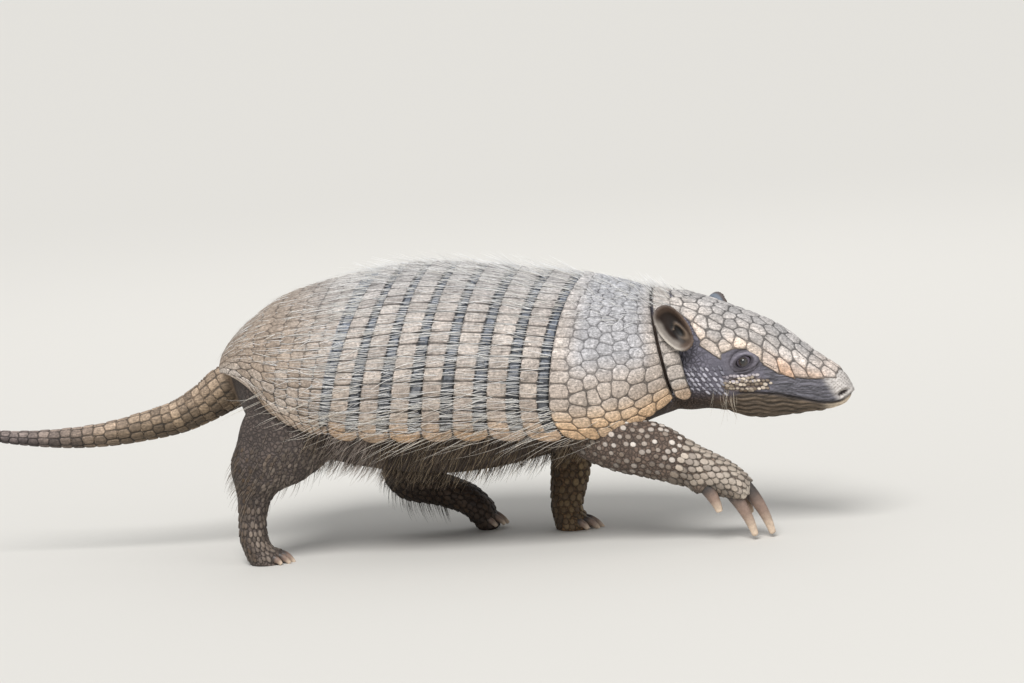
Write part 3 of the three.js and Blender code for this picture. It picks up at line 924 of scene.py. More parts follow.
def shell_tint(
    x: np.ndarray, t: np.ndarray, run: np.ndarray, shade: np.ndarray, name: str
) -> np.ndarray:
    """The colour of the shell, with painted sky reflections on its top and on the pectoral shield.

    Args:
        x: Distance from the rump.
        t: Place from rim to rim.
        run: Share of the plate's length.
        shade: A random number for each scute.
        name: The plate's name.

    Returns:
        Linear colours, one row each.
    """
    side = np.abs(t)
    margin = ramp(0.84, 0.97, side)
    colour = painted(
        linear(HORN),
        (HORN_PALE, 0.15 + 0.4 * shade),
        # painted sky reflection on the top of the shell
        (HORN_SKY_REFLECTION, 0.6 * (1 - ramp(0.1, 0.55, side))),
        (HORN_BROWN, 0.75 * (1 - ramp(40, 110, x))),
        (HORN_BROWN, 0.45 * ramp(0.55, 0.85, side)),
    )
    if name == "pectoral_shield":
        # The bluish grey over the middle of the pectoral shield is a painted reflection of the sky.
        inner = ramp(0.05, 0.3, run) * (1 - ramp(0.8, 1, run)) * (1 - ramp(0.6, 0.78, side))
        rim = (0.5 + 0.4 * shade) * ramp(0.8, 0.92, side)
        colour = painted(colour * 1.18, ("B2B3B8", 0.75 * inner), ("E8C6A0", rim))
    elif name == "nuchal_band":
        colour = painted(colour, (HORN_PALE, 0.6))
    elif name == "pelvic_shield":
        corner = ramp(0.6, 0.85, side) * (1 - ramp(40, 75, x))
        colour = painted(colour, (HORN_PALE, 0.9 * shade * corner))
        margin = margin * (0.35 + 0.65 * ramp(50, 120, x))
    return painted(colour, (HORN_ORANGE, (0.35 + 0.5 * shade) * margin)) * (0.93 + 0.13 * shade)[:, None]


@dataclass
class Band(ShellPlate):
    """A movable band: a row of long scutes with a low blue-grey strip along its front."""

    ROWS = 38
    front_lift: float = 0.3

    def strip_share(self, t: Real) -> Real:
        """How much of the band's length the strip takes, more towards the rim."""
        return 0.25 + 0.12 * ramp(0.2, 0.9, np.abs(t))

    def in_strip(self, flat: np.ndarray, run: np.ndarray) -> np.ndarray:
        """1 for points of the strip and 0 for the others; the last scutes have no strip."""
        level = flat[:, 1] / self.half
        edge = 1 - self.strip_share(level)
        return ramp(edge - 0.02, edge + 0.02, run) * (1 - ramp(0.935, 0.955, np.abs(level)))

    def cells(self) -> ScuteSheet:
        """A column of long cells and a column of strip cells."""
        sheet = ScuteSheet.grid((0, 0.5 * self.length, self.length), self.ROWS, self.half)
        for vert in sheet.bm.verts:
            if 0 < vert.co.x < self.length:
                vert.co.x = self.length * (1 - float(self.strip_share(vert.co.y / self.half)))
        # The last scute at each rim spans the whole band.
        last = self.half * (1 - 2 / self.ROWS) - 0.1
        inner = sheet.edges(lambda co: 0 < co.x < self.length and abs(co.y) > last)
        bmesh.ops.dissolve_edges(sheet.bm, edges=inner)
        rim = sheet.edges(lambda co: abs(co.y) > self.half - 0.1)
        bmesh.ops.subdivide_edges(sheet.bm, edges=rim, cuts=4)
        boundary = self.length * 0.77
        sheet.raise_scutes(
            (RECTANGLE, STRIP), lambda cell: int(cell.calc_center_median().x > boundary), ord(self.name[-1])
        )
        return sheet

    def height(self) -> float:
        """The long scutes' height."""
        return RECTANGLE.height


@dataclass
class Shield(ShellPlate):
    """A rigid shield: rows of scutes that turn from rectangles at its margins to polygons."""

    columns: tuple[tuple[float, int], ...] = ()
    jitter: float = 0.16
    strip: float = 0.0

    def in_strip(self, flat: np.ndarray, run: np.ndarray) -> np.ndarray:
        """1 for points of the strip along the shield's front, if it has one."""
        edge = 1 - self.strip
        here = (self.strip > 0) * (np.abs(flat[:, 1]) < 0.95 * self.half)
        return ramp(edge - 0.005, edge + 0.005, run) * here

    def dress(self, mesh: bpy.types.Mesh, flat: np.ndarray) -> None:
        """Colours the shield, whose painted groove shade is lighter over the back."""
        super().dress(mesh, flat)
        # Over the back the grooves' rise is lifted, so their painted shade is lighter there.
        soft = 1 - ramp(0.6, 0.95, np.abs(flat[:, 1]) / self.half)
        rise = read_value(mesh, "rise")
        lifted = rise + 0.45 * soft * (1 - rise) * (rise > 0.01)
        write_value(mesh, "rise", np.maximum(lifted, 0.24 * soft))

    def seeds(self) -> np.ndarray:
        """The scutes' middles in the flat layout."""
        chance = np.random.default_rng(11)
        found = []
        last = len(self.columns) - 1
        for index, (share, rows) in enumerate(self.columns):
            pitch = 2 * self.half / rows
            shift = 0.25 if index % 2 and 0 < index < last else 0
            for row in range(rows):
                y = -self.half + (row + 0.5 + shift) * pitch
                loose = self.jitter * (1 - float(ramp(0.7, 0.95, abs(y) / self.half)))
                loose = loose if 0 < index < last else 0.0
                pull = chance.uniform(-loose, loose, 2) * (self.length / len(self.columns), pitch)
                found.append((share * self.length + pull[0], y + pull[1]))
        return np.array(found)

    def cells(self) -> ScuteSheet:
        """A mosaic with lobed margins at the rims."""
        low, high = Vector((0, -self.half, 0)), Vector((self.length, self.half, 0))
        sheet = ScuteSheet.mosaic(self.seeds(), low, high)
        sheet.scallop(sheet.edges(lambda co: abs(co.y) > self.half - 0.2, over=3), 2.2)
        if self.name == "pelvic_shield":
            sheet.scallop(sheet.edges(lambda co: co.x < 0.2, over=3), 1.6)
        edge = self.length * (1 - self.strip)
        sheet.raise_scutes((MOSAIC, STRIP), lambda cell: int(cell.calc_center_median().x > edge))
        return sheet


class Shell:
    """All plates of the shell, from the pelvic shield to the nuchal band."""

    GAP = 0.35

    def plates(self) -> list[ShellPlate]:
        """The plates with their margins and layouts."""
        hinges = Trunk.HINGES
        made: list[ShellPlate] = [
            Shield(
                "pelvic_shield",
                Trunk.rear_margin,
                lambda t: hinges[0].at(t) - self.GAP,
                length=88,
                columns=tuple(
                    (0.045 + 0.104 * i, rows)
                    for i, rows in enumerate((16, 21, 26, 31, 35, 39, 42, 43, 41, 38))
                ),
                jitter=0.1,
                front_lift=0.3,
                strip=0.071,
            )
        ]
        for index in range(len(hinges) - 1):
            made.append(
                Band(
                    f"band_{len(hinges) - 1 - index}",
                    lambda t, index=index: hinges[index].at(t) + self.GAP,
                    lambda t, index=index: hinges[index + 1].at(t) - self.GAP,
                    length=21.5,
                )
            )
        made.append(
            Shield(
                "pectoral_shield",
                lambda t: hinges[-1].at(t) + self.GAP,
                lambda t: 300 + 15 * t * t,
                length=74,
                columns=((0.085, 38), (0.25, 36), (0.38, 34), (0.51, 33), (0.64, 31), (0.78, 29), (0.93, 28)),
                jitter=0.3,
            )
        )
        made.append(
            Shield(
                "nuchal_band",
                lambda t: 302 + 15 * t * t,
                lambda t: 314 + 13 * t * t,
                length=12,
                half=118,
                columns=((0.5, 24),),
                jitter=0,
            )
        )
        return made

    def make(self, finish: bpy.types.Material) -> list[bpy.types.Object]:
        """Builds every plate."""
        return [plate.make(finish) for plate in self.plates()]


@dataclass
class HeadShield:
    """The large irregular plates that cover the top of the head."""

    pitch: tuple[float, float] = (9.5, 9.0)
    half: float = 72.0
    looseness: float = 0.28
    narrow: float = 3.3
    count: int = 0
    relief: Relief = Relief(0.3, 2, ((0.45, 0.6), (0.8, 0.4), (0.8, 0.2)))
    small: Relief = Relief(0.3, 1, ((0.2, 0.6), (0.25, 0.4), (0.25, 0.2)))

    @property
    def length(self) -> float:
        """The layout's length."""
        low, high = Head.SHIELD_RUN
        return float(high - low)

    def radius(self, along: Real) -> Real:
        """Millimetres of the layout's width for each radian round the head."""
        top, _, half, middle = Head.STATIONS(along)
        return 0.5 * (half + top - middle) * 1.04

    def reach(self, flat_x: Real) -> np.ndarray:
        """Half the shield's width at a place along the layout."""
        along = Head.SHIELD_RUN[0] + flat_x
        return np.radians(Head.SHIELD_MARGIN(along)[0]) * self.radius(along)

    def seeds(self) -> np.ndarray:
        """The plates' middles in columns across the head, then mirror seeds outside the margin."""
        chance = np.random.default_rng(31)
        columns = round(self.length / self.pitch[0])
        step = self.length / columns
        found, outside = [], []
        for index in range(-1, columns + 1):
            x = (index + 0.5) * step
            reach = float(self.reach(min(max(x, 1.0), self.length - 1)))
            rows = max(4, round(2 * reach / self.pitch[1] + (0.5 if index % 2 else 0)))
            rise = 2 * reach / rows
            slope = float(self.reach(x + 2.0) - self.reach(x - 2.0)) / 4
            tilt = math.hypot(1, slope)
            # The plates stand more evenly at the margin and towards the snout.
            free = self.looseness * (1 - float(ramp(78, 98, x)))
            for row in range(rows):
                at_margin = row in (0, rows - 1)
                loose = free * (0.3 if at_margin else 1)
                pull = chance.uniform(-loose, loose, 2) * (step, rise)
                inner = (x + pull[0], -reach + (row + 0.5) * rise + pull[1])
                (found if 0 <= index < columns else outside).append(inner)
                if at_margin:
                    side = 1 if row else -1
                    away = 2 * ((reach - side * inner[1]) / tilt) / tilt
                    outside.append((inner[0] - away * slope, inner[1] + side * away))
        self.count = len(found)
        return np.array(found + outside)

    def place(self, flat: np.ndarray) -> np.ndarray:
        """Bends flat points over the head."""
        along, turn = self.spot(flat)
        return Head.skin(along, turn, flat[:, 2] + 0.1, 1)

    def spot(self, flat: np.ndarray) -> tuple[np.ndarray, np.ndarray]:
        """Distance along the head and angle from its top."""
        along = Head.SHIELD_RUN[0] + flat[:, 0]
        return along, flat[:, 1] / self.radius(along)

    def cells(self) -> ScuteSheet:
        """The whole plates inside the shield's margin."""
        low, high = Vector((-12, -self.half, 0)), Vector((self.length + 12, self.half, 0))
        return ScuteSheet.mosaic(self.seeds(), low, high, self.count)

    def is_small(self, cell: bmesh.types.BMFace) -> int:
        """1 for a plate that is too narrow for the full relief."""
        return int(2 * cell.calc_area() / max(cell.calc_perimeter(), 0.1) < self.narrow)

    def make(self, finish: bpy.types.Material) -> bpy.types.Object:
        """Builds the shield in place of its solid."""
        sheet = self.cells()
        sheet.raise_scutes((self.relief, self.small), self.is_small)
        mesh, flat = sheet.bent("head_shield_scutes", self.place, self.relief.height)
        along, _ = self.spot(flat)
        shade = read_value(mesh, "shade")
        edge = np.abs(flat[:, 1]) / self.reach(flat[:, 0])
        brow = ramp(0.7, 0.92, edge) * ramp(18, 34, along) * (1 - ramp(70, 92, along))
        low = ramp(0.62, 0.9, edge) * ramp(68, 84, along) * (1 - ramp(108, 118, along))
        top = 0.6 * (1 - ramp(0.2, 0.6, edge))
        colour = painted(linear("B8B1AC"), ("D8CEC6", shade), ("ACAAAA", top))
        colour = painted(
            colour * (1 + 0.12 * brow)[:, None],
            ("F2DAC4", (0.45 + 0.5 * shade) * brow),
            ("D3C5BB", ramp(96, 118, along)),
            ("D9AE8C", (0.25 + 0.6 * shade) * low),
        )
        write_tint(mesh, colour * (0.92 + 0.14 * shade)[:, None])
        made = piece(mesh, finish)
        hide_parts("head_shield")
        return made


# ---------------------------------------------------------------- finishes


def per_metre(size_mm: float) -> float:
    """The texture scale that repeats a pattern once in a size in millimetres."""
    return 1 / (size_mm * MM)


class Graph:
    """The nodes of one material."""

    def __init__(self, tree: bpy.types.NodeTree) -> None:
        """Starts at a new material's principled shader."""
        self.tree = tree
        self.shader = tree.nodes["Principled BSDF"]

    def node(
        self, kind: str, settings: dict | None = None, out: str | int = 0, **links: object
    ) -> bpy.types.NodeSocket:
        """Adds one node.

        Args:
            kind: The node's type, without "ShaderNode".
            settings: Properties of the node itself.
            out: Which output to return.
            **links: Values or output sockets for the inputs, named as the sockets are, or "in0",
                "in1" and so on for an input by its number.

        Returns:
            The chosen output.
        """
        made = self.tree.nodes.new("ShaderNode" + kind)
        for key, value in (settings or {}).items():
            setattr(made, key, value)
        for key, value in links.items():
            number = key[2:]
            socket = made.inputs[int(number) if key.startswith("in") and number.isdigit() else key]
            if isinstance(value, bpy.types.NodeSocket):
                self.tree.links.new(value, socket)
            else:
                socket.default_value = value
        return made.outputs[out]

    def value(self, name: str, out: str = "Fac") -> bpy.types.NodeSocket:
        """What the mesh keeps under a name."""
        return self.node("Attribute", {"attribute_name": name}, out)

    def noise(
        self, place: bpy.types.NodeSocket, size_mm: float, detail: float, roughness: float
    ) -> bpy.types.NodeSocket:
        """Noise of one size."""
        scale = per_metre(size_mm)
        return self.node("TexNoise", Vector=place, Scale=scale, Detail=detail, Roughness=roughness)

    def spread(
        self, value: bpy.types.NodeSocket, first: float, last: float, low: float, high: float
    ) -> bpy.types.NodeSocket:
        """Stretches the range from first to last until it goes from low to high."""
        return self.node("MapRange", in0=value, in1=first, in2=last, in3=low, in4=high)

    def where(self, share: bpy.types.NodeSocket, gain: bpy.types.NodeSocket) -> bpy.types.NodeSocket:
        """A gain that fades to 1 where its share is 0."""
        return self.node("Mix", {"data_type": "FLOAT"}, Factor=share, in2=1.0, in3=gain)

    def product(self, *factors: bpy.types.NodeSocket) -> bpy.types.NodeSocket:
        """All the factors multiplied."""
        total = factors[0]
        for factor in factors[1:]:
            total = self.node("Math", {"operation": "MULTIPLY"}, in0=total, in1=factor)
        return total

    def scaled(
        self, colour: bpy.types.NodeSocket, gain: bpy.types.NodeSocket | float
    ) -> bpy.types.NodeSocket:
        """A colour made lighter or darker."""
        return self.node("VectorMath", {"operation": "SCALE"}, in0=colour, Scale=gain)

    def finish(
        self, colour: bpy.types.NodeSocket, height: bpy.types.NodeSocket, strength: float, depth_mm: float
    ) -> None:
        """Gives the shader its colour and bump."""
        self.tree.links.new(colour, self.shader.inputs["Base Color"])
        bump = self.node("Bump", Strength=strength, Distance=depth_mm * MM, Height=height)
        self.tree.links.new(bump, self.shader.inputs["Normal"])


@dataclass(frozen=True)
class Finish:
    """What one piece is made of, as it meets the eye."""

    name: str
    roughness: float

    def build(self) -> bpy.types.Material:
        """The finished material."""
        material = bpy.data.materials.new(self.name)
        material.use_nodes = True
        graph = Graph(material.node_tree)
        graph.shader.inputs["Roughness"].default_value = self.roughness
        self.wire(graph)
        return material

    def wire(self, graph: Graph) -> None:
        """Adds the material's own nodes."""
        raise NotImplementedError


@dataclass(frozen=True)
class DryHorn(Finish):
    """Dry horn with fine streaks along the body, flaky pale specks and painted shade in the grooves.

    The horn is matt and worn, so it gives a soft, dusty look with only a faint sheen.
    """

    streak: float = 0.5
    # How bright the grooves stay under their painted shade.
    groove: float = 0.3

    def wire(self, graph: Graph) -> None:
        """Adds streaks, specks and patches, and paints the grooves darker as shade."""
        place = graph.node("TexCoord", out="Object")
        tint, rise = graph.value("tint", "Color"), graph.value("rise")
        # The streaks are about 0.9 mm wide and 9 mm long and follow the body.
        stretched = graph.node("Mapping", Vector=place, Scale=(per_metre(9), per_metre(0.9), per_metre(0.9)))
        streaks = graph.node("TexNoise", Vector=stretched, Scale=1.0, Detail=3.0, Roughness=0.6)
        specks = graph.noise(place, 1.6, 4.0, 0.7)
        patches = graph.noise(place, 14, 3.0, 0.6)
        gain = graph.product(
            graph.spread(streaks, 0.35, 0.68, 1 - 0.75 * self.streak, 1 + 0.45 * self.streak),
            graph.spread(specks, 0.36, 0.66, 0.62, 1.32),
            graph.spread(patches, 0.3, 0.7, 0.82, 1.14),
        )
        clean = graph.scaled(tint, gain)
        # The grooves are painted darker as shade, by how low the mesh's "rise" is.
        high = graph.spread(rise, 0.12, 0.6, 0.0, 1.0)
        groove_shaded_colour = graph.scaled(clean, self.groove)
        colour = graph.node("Mix", {"data_type": "RGBA"}, 2, Factor=high, in6=groove_shaded_colour, in7=clean)
        height = graph.node("Math", {"operation": "ADD"}, in0=streaks, in1=specks)
        graph.finish(colour, height, 0.55, 0.5)


@dataclass(frozen=True)
class Hide(Finish):
    """Leathery skin: small horny grains where it is scaly, long fine wrinkles where it is bare.

    The grains catch painted light one by one; painted shade in the wrinkles gives the muzzle its drawn look.
    """

    grain_mm: float = 2.9

    def wire(self, graph: Graph) -> None:
        """Adds grains and wrinkles, each where the mesh asks for them."""
        place = graph.node("TexCoord", out="Object")
        tint, scaly, wrinkled = graph.value("tint", "Color"), graph.value("scaly"), graph.value("wrinkled")
        wobble = graph.node("TexNoise", out="Color", Vector=place, Scale=per_metre(7), Detail=2.0)
        linear_light = {"blend_type": "LINEAR_LIGHT"}
        bent = graph.node("MixRGB", linear_light, Fac=0.0012, Color1=place, Color2=wobble)
        to_edge = {"feature": "DISTANCE_TO_EDGE"}
        grains = graph.node("TexVoronoi", to_edge, "Distance", Vector=bent, Scale=per_metre(self.grain_mm))
        dome = graph.spread(grains, 0.02, 0.26, 0.0, 1.0)
        # The wrinkles run along the head: about 2 mm apart and 13 mm long.
        size = (per_metre(13), per_metre(2.2), per_metre(1.5))
        turned = graph.node("Mapping", Vector=bent, Rotation=(0, 0, -Head.YAW), Scale=size)
        wrinkles = graph.node(
            "TexNoise", Vector=turned, Scale=1.0, Detail=3.0, Roughness=0.65, Distortion=0.6
        )
        fine = graph.noise(place, 1.3, 3.0, 0.7)
        patches = graph.noise(place, 16, 3.0, 0.6)
        # Painted light and shade: grains lighter at their middles, wrinkles darker in their troughs.
        gain = graph.product(
            graph.where(scaly, graph.spread(dome, 0.0, 1.0, 0.5, 1.35)),
            graph.where(wrinkled, graph.spread(wrinkles, 0.36, 0.62, 0.45, 1.35)),
            graph.spread(fine, 0.3, 0.7, 0.85, 1.15),
            graph.spread(patches, 0.3, 0.7, 0.82, 1.18),
        )
        height = graph.product(dome, scaly)
        for part, weight in ((graph.product(wrinkles, wrinkled), 2.5), (fine, 0.3)):
            height = graph.node("Math", {"operation": "MULTIPLY_ADD"}, in0=part, in1=weight, in2=height)
        graph.finish(graph.scaled(tint, gain), height, 0.8, 0.6)


@dataclass(frozen=True)
class Painted(Finish):
    """A smooth surface in the mesh's own tint with a little mottling.

    It serves ear skin, claw horn, small scales and bristles, which differ in roughness and grain.
    """

    grain_mm: float = 1.5
    contrast: float = 0.15
    bump: float = 0.2

    def wire(self, graph: Graph) -> None:
        """Adds the grain."""
        grain = graph.noise(graph.node("TexCoord", out="Object"), self.grain_mm, 4.0, 0.65)
        gain = graph.spread(grain, 0.3, 0.7, 1 - self.contrast, 1 + self.contrast)
        graph.finish(graph.scaled(graph.value("tint", "Color"), gain), grain, self.bump, 0.3)


@dataclass(frozen=True)
class WetEye(Finish):
    """A wet cornea over a dark eye: a clear coat gives it the one sharp highlight."""

    def wire(self, graph: Graph) -> None:
        """Adds the tint and the coat."""
        graph.tree.links.new(graph.value("tint", "Color"), graph.shader.inputs["Base Color"])
        graph.shader.inputs["Coat Weight"].default_value = 1.0
        graph.shader.inputs["Coat Roughness"].default_value = 0.03


@dataclass(frozen=True)
class PaleFloor(Finish):
    """A matt painted studio floor, even and pale."""

    colour: str = "D8D5CF"

    def wire(self, graph: Graph) -> None:
        """Sets the plain colour."""
        graph.shader.inputs["Base Color"].default_value = (*linear(self.colour), 1)
        graph.shader.inputs["Specular IOR Level"].default_value = 0.2


# ---------------------------------------------------------------- skin


def head_share(points: np.ndarray) -> np.ndarray:
    """How far points lie from the head's middle line, as a share of its section."""
    along, side, height = Head.own(points)
    top, under, half, middle = Head.STATIONS(along)
    reach = np.where(height > middle, top - middle, middle - under)
    return np.hypot(side / half, (height - middle) / reach)


def nearest_run(limb: Limb, points: np.ndarray) -> tuple[np.ndarray, np.ndarray]:
    """Where points lie along a limb.

    Args:
        limb: The limb.
        points: Points, one row each.

    Returns:
        The run of the nearest place on the middle line, and the distance as a share of the radius.
    """
    runs = np.linspace(0, 1, 48)
    x, y, z, deep, wide, *_ = limb.curve(runs)
    centres = stacked(x, y, z)
    share = np.full(len(points), np.inf)
    found = np.zeros(len(points))
    for run, centre, radius in zip(runs, centres, np.maximum(deep, wide)):
        away = np.linalg.norm(points - centre, axis=1) / radius
        nearer = away < share
        share[nearer], found[nearer] = away[nearer], run
    return found, share


@dataclass
class Skin:
    """One closed skin over the trunk, neck, head, legs and tail, under the scales and plates."""

    inset: float = 0.5
    voxel: float = 1.75

    def head_part(self, run: np.ndarray, turn: np.ndarray, pinch: np.ndarray) -> np.ndarray:
        """A point of the head by its share of the length."""
        first, last = Head.STATIONS.keys[[0, -1]]
        return Head.skin(first + (last - first) * run, turn, -self.inset, pinch)

    def digits(self) -> list[bpy.types.Mesh]:
        """The toes, each a sheath that ends round its claw's root."""
        made = []
        for leg in LEGS:
            for form in leg.claw_forms():
                turn, slope = math.radians(form.heading), math.radians(leg.droop[0] * 0.7)
                ahead = np.array([math.cos(turn) * math.cos(slope), math.sin(turn), math.sin(slope)])
                rows = []
                for reach, girth in ((-11, 1.25), (-6, 1.4), (-2, 1.42), (1.5, 1.22)):
                    radius = form.root * girth
                    rows.append((*(np.array(form.at) + ahead * reach), radius, radius))
                made.append(loft("toe", Limb(rows).skin, 20, 14))
        return made

    def body(self) -> bpy.types.Mesh:
        """The skin before its folds."""
        parts = [
            loft("flesh", Trunk.flesh, 120, 140),
            loft("head", self.head_part, 96, 110),
            loft("tail", TAIL.skin, 40, 120),
            *(loft(leg.name, leg.limb().skin, 48, 80) for leg in LEGS),
            *self.digits(),
        ]
        settings = {"mode": "VOXEL", "voxel_size": self.voxel, "use_smooth_shade": True}
        smoothing = {"factor": 0.5, "iterations": 5}
        return baked(joined("skin", parts), [("REMESH", settings), ("SMOOTH", smoothing)])

    def refine(self, mesh: bpy.types.Mesh) -> bpy.types.Mesh:
        """Halves the faces round the eyes, mouth and snout, where the folds are small."""
        bm = bmesh.new()
        bm.from_mesh(mesh)
        bpy.data.meshes.remove(mesh)
        along, side, height = Head.own(np.array([v.co for v in bm.verts]))
        top = Head.STATIONS(along)[0]
        fine = (along > 40) & (height < top - 10) & (height > 78) & (np.abs(side) > 4) | (along > 118)
        bm.verts.ensure_lookup_table()
        edges = [e for e in bm.edges if all(fine[v.index] for v in e.verts)]
        bmesh.ops.subdivide_edges(bm, edges=edges, cuts=1, use_grid_fill=True)
        return mesh_of(bm, "skin", outward=False)

    @staticmethod
    def from_nostril(along: np.ndarray, height: np.ndarray) -> np.ndarray:
        """Distance from the nostril, which is a short slit that rises forwards."""
        c, s = math.cos(math.radians(27)), math.sin(math.radians(27))
        x, z = along - 124.4, height - 95.8
        return np.hypot((x * c + z * s) / 2.6, z * c - x * s)

    @staticmethod
    def jaw_crease(along: np.ndarray, height: np.ndarray) -> np.ndarray:
        """A wave from -1 in the long creases of the jaw to 1 between them."""
        return np.sin(2 * np.pi * (height + 0.12 * along + 0.8 * np.sin(along * 0.35)) / 3.4)

    @staticmethod
    def drawn(along: np.ndarray, mouth: np.ndarray) -> np.ndarray:
        """A wave across the wrinkles that run along the muzzle, by the height over the mouth."""
        return np.sin(2 * np.pi * (mouth + 0.7 * np.sin(along * 0.4)) / 2.7)

    def folds(self, points: np.ndarray) -> np.ndarray:
        """How far each point moves outwards for the mouth, eye sockets, nostrils and folds."""
        along, side, height = Head.own(points)
        on_head = ramp(-4, 4, along) * (1 - ramp(1.1, 1.25, head_share(points)))
        mouth = height - Head.MOUTH(along)[0]
        lips = ramp(47, 58, along) * (1 - ramp(127, 132, along))
        moved = -1.5 * hump(mouth, 0, 0.8) * lips
        moved += 0.7 * hump(mouth, 2.4, 1.5) * lips * ramp(56, 80, along)
        eye = np.hypot(along - Head.EYE[0], height - Head.EYE[2])
        lateral = ramp(12, 20, np.abs(side)) * on_head
        moved -= 5.0 * (1 - ramp(5.2, 9.8, eye)) * lateral
        ripple = np.sin(2 * np.pi * (eye + 0.6 * np.sin(along * 0.7)) / 3.6)
        moved += 0.3 * ripple * ramp(9.5, 11, eye) * (1 - ramp(15, 20, eye)) * lateral
        nose = self.from_nostril(along, height)
        moved += (0.5 * hump(nose, 2.6, 0.9) - 2.6 * hump(nose, 0, 1.5)) * ramp(1.5, 3.5, np.abs(side))
        below = (1 - ramp(-6, -2, mouth)) * on_head
        jaw = below * ramp(20, 45, along) * (1 - ramp(112, 122, along))
        moved += 0.5 * self.jaw_crease(along, height) * jaw
        cheek = ramp(70, 78, along) * (1 - ramp(108, 118, along)) * (1 - ramp(4, 12, np.abs(mouth - 7)))
        moved += 0.42 * self.drawn(along, mouth) * cheek * lateral
        neck = ramp(-16, -8, along) * (1 - ramp(13, 24, along)) * ramp(24, 34, np.abs(side)) * on_head
        moved += 0.9 * np.sin(2 * np.pi * (along + 0.22 * (height - 100)) / 6.4) * neck
        return moved

    def tint(self, points: np.ndarray) -> tuple[np.ndarray, np.ndarray, np.ndarray]:
        """The skin's markings.

        Args:
            points: The skin's points.

        Returns:
            Linear colours, how scaly the skin is, and how wrinkled it is.
        """
        x, _, z = points.T
        along, side, height = Head.own(points)
        _, from_tail = nearest_run(TAIL, points)
        tail = ramp(20, 2, x) * (1 - ramp(1.05, 1.45, from_tail))
        # Skin under the shell is painted darker as the shell's shade.
        above = ramp(70, 92, z) * (1 - ramp(285, 300, x))
        colour = painted(linear("3E3128") + 0 * points, ("382C24", above), ("84705C", tail))
        scaly = 0.35 * (1 - tail)
        wrinkled = 0.4 + 0 * x
        # The far legs' skin colours carry painted shade (see LEGS).
        for leg in LEGS:
            run, share = nearest_run(leg.limb(), points)
            on_leg = (1 - ramp(1.15, 1.5, share)) * ramp(0, 0.1, run)
            upper, lower = (linear(code) for code in leg.skin)
            shades = mix(upper, lower, ramp(0.45, 0.95, run))
            colour = colour + (shades - colour) * on_leg[:, None]
            scaly = np.maximum(scaly, on_leg)
            wrinkled = wrinkled * (1 - 0.8 * on_leg)

        mouth = height - Head.MOUTH(along)[0]
        head = ramp(-14, 0, along) * (1 - ramp(1.12, 1.22, head_share(points)))
        throat = head * (1 - ramp(-2, 10, height - 95)) * (1 - ramp(48, 60, along))
        jaw = head * ramp(30, 50, along) * (1 - ramp(-1.5, 0.5, mouth))
        creased = 1 - ramp(-1, 0.2, self.jaw_crease(along, height))
        muzzle = head * ramp(68, 84, along) * ramp(-0.5, 1, mouth)
        drawn = 1 - ramp(-0.9, -0.1, self.drawn(along, mouth))
        eye = np.hypot(along - Head.EYE[0], height - Head.EYE[2])
        patch = head * (1 - ramp(0.75, 1.15, np.hypot((along - 61) / 15, (height - 106) / 5.5)))
        tip = head * ramp(115, 122, along + 0.6 * (height - 98))
        mottled = ramp(0.3, 0.7, np.sin(along * 2.1 + 0.9 * side) * np.sin(height * 2.6 + 0.5 * side))
        lip = head * hump(mouth, 0, 1.1) * ramp(50, 60, along)
        nostril = head * (1 - ramp(0.9, 1.7, self.from_nostril(along, height))) * (np.abs(side) > 1.5)
        colour = painted(
            colour,
            ("63606A", head),
            ("4E3E33", throat),
            ("67594A", jaw),
            # painted shade in the jaw's creases
            ("2C231C", 0.6 * jaw * creased),
            ("65636A", muzzle),
            # painted shade in the muzzle's wrinkles
            ("3A3536", 0.6 * muzzle * drawn),
            ("625E66", head * (1 - ramp(8, 15, eye))),
            ("5A4B3F", 0.8 * patch),
            ("BDB7B2", tip * ramp(-1, 1, mouth)),
            ("6B5F57", 0.75 * mottled * tip * (1 - ramp(125, 131, along))),
            ("CDBCA6", head * ramp(108, 118, along) * (1 - ramp(-1, 0, mouth))),
            # painted shade along the mouth's line
            ("2E2622", 0.85 * lip * (1 - 0.5 * ramp(120, 128, along))),
            # painted shade in the nostrils
            ("241B19", nostril),
        )
        neck = head * (1 - ramp(30, 46, along))
        scaly = scaly * (1 - head) + head * (0.9 * neck + 0.85 * patch)
        wrinkled = wrinkled * (1 - head) + head * np.clip(1.1 * muzzle + jaw + 0.35, 0, 1) * (1 - 0.6 * tip)
        return colour, np.clip(scaly, 0, 1), np.clip(wrinkled, 0, 1)

    def make(self, finish: bpy.types.Material) -> tuple[bpy.types.Object, BVHTree]:
        """Builds the skin in place of the flesh solids.

        Returns:
            The piece, and a tree of its surface in the animal's millimetres.
        """
        mesh = self.refine(self.body())
        points = read_points(mesh)
        points = points + read(mesh.vertex_normals, "vector", 3) * self.folds(points)[:, None]
        points[:, 2] = np.maximum(points[:, 2], 0.2)
        write_points(mesh, points)
        colour, scaly, wrinkled = self.tint(points)
        write_tint(mesh, colour)
        write_value(mesh, "scaly", scaly)
        write_value(mesh, "wrinkled", wrinkled)
        bm = bmesh.new()
        bm.from_mesh(mesh)
        tree = BVHTree.FromBMesh(bm)
        bm.free()
        made = piece(mesh, finish)
        limbs = [f"{leg.name}_{part}" for leg in LEGS for part in ("upper", "lower", "foot")]
        tail = [f"tail_{part}" for part in ("base", "middle", "tip")]
        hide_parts("trunk", "neck", "head", "lower_jaw", *tail, *limbs)
        return made, tree


# ---------------------------------------------------------------- ears, eyes and claws


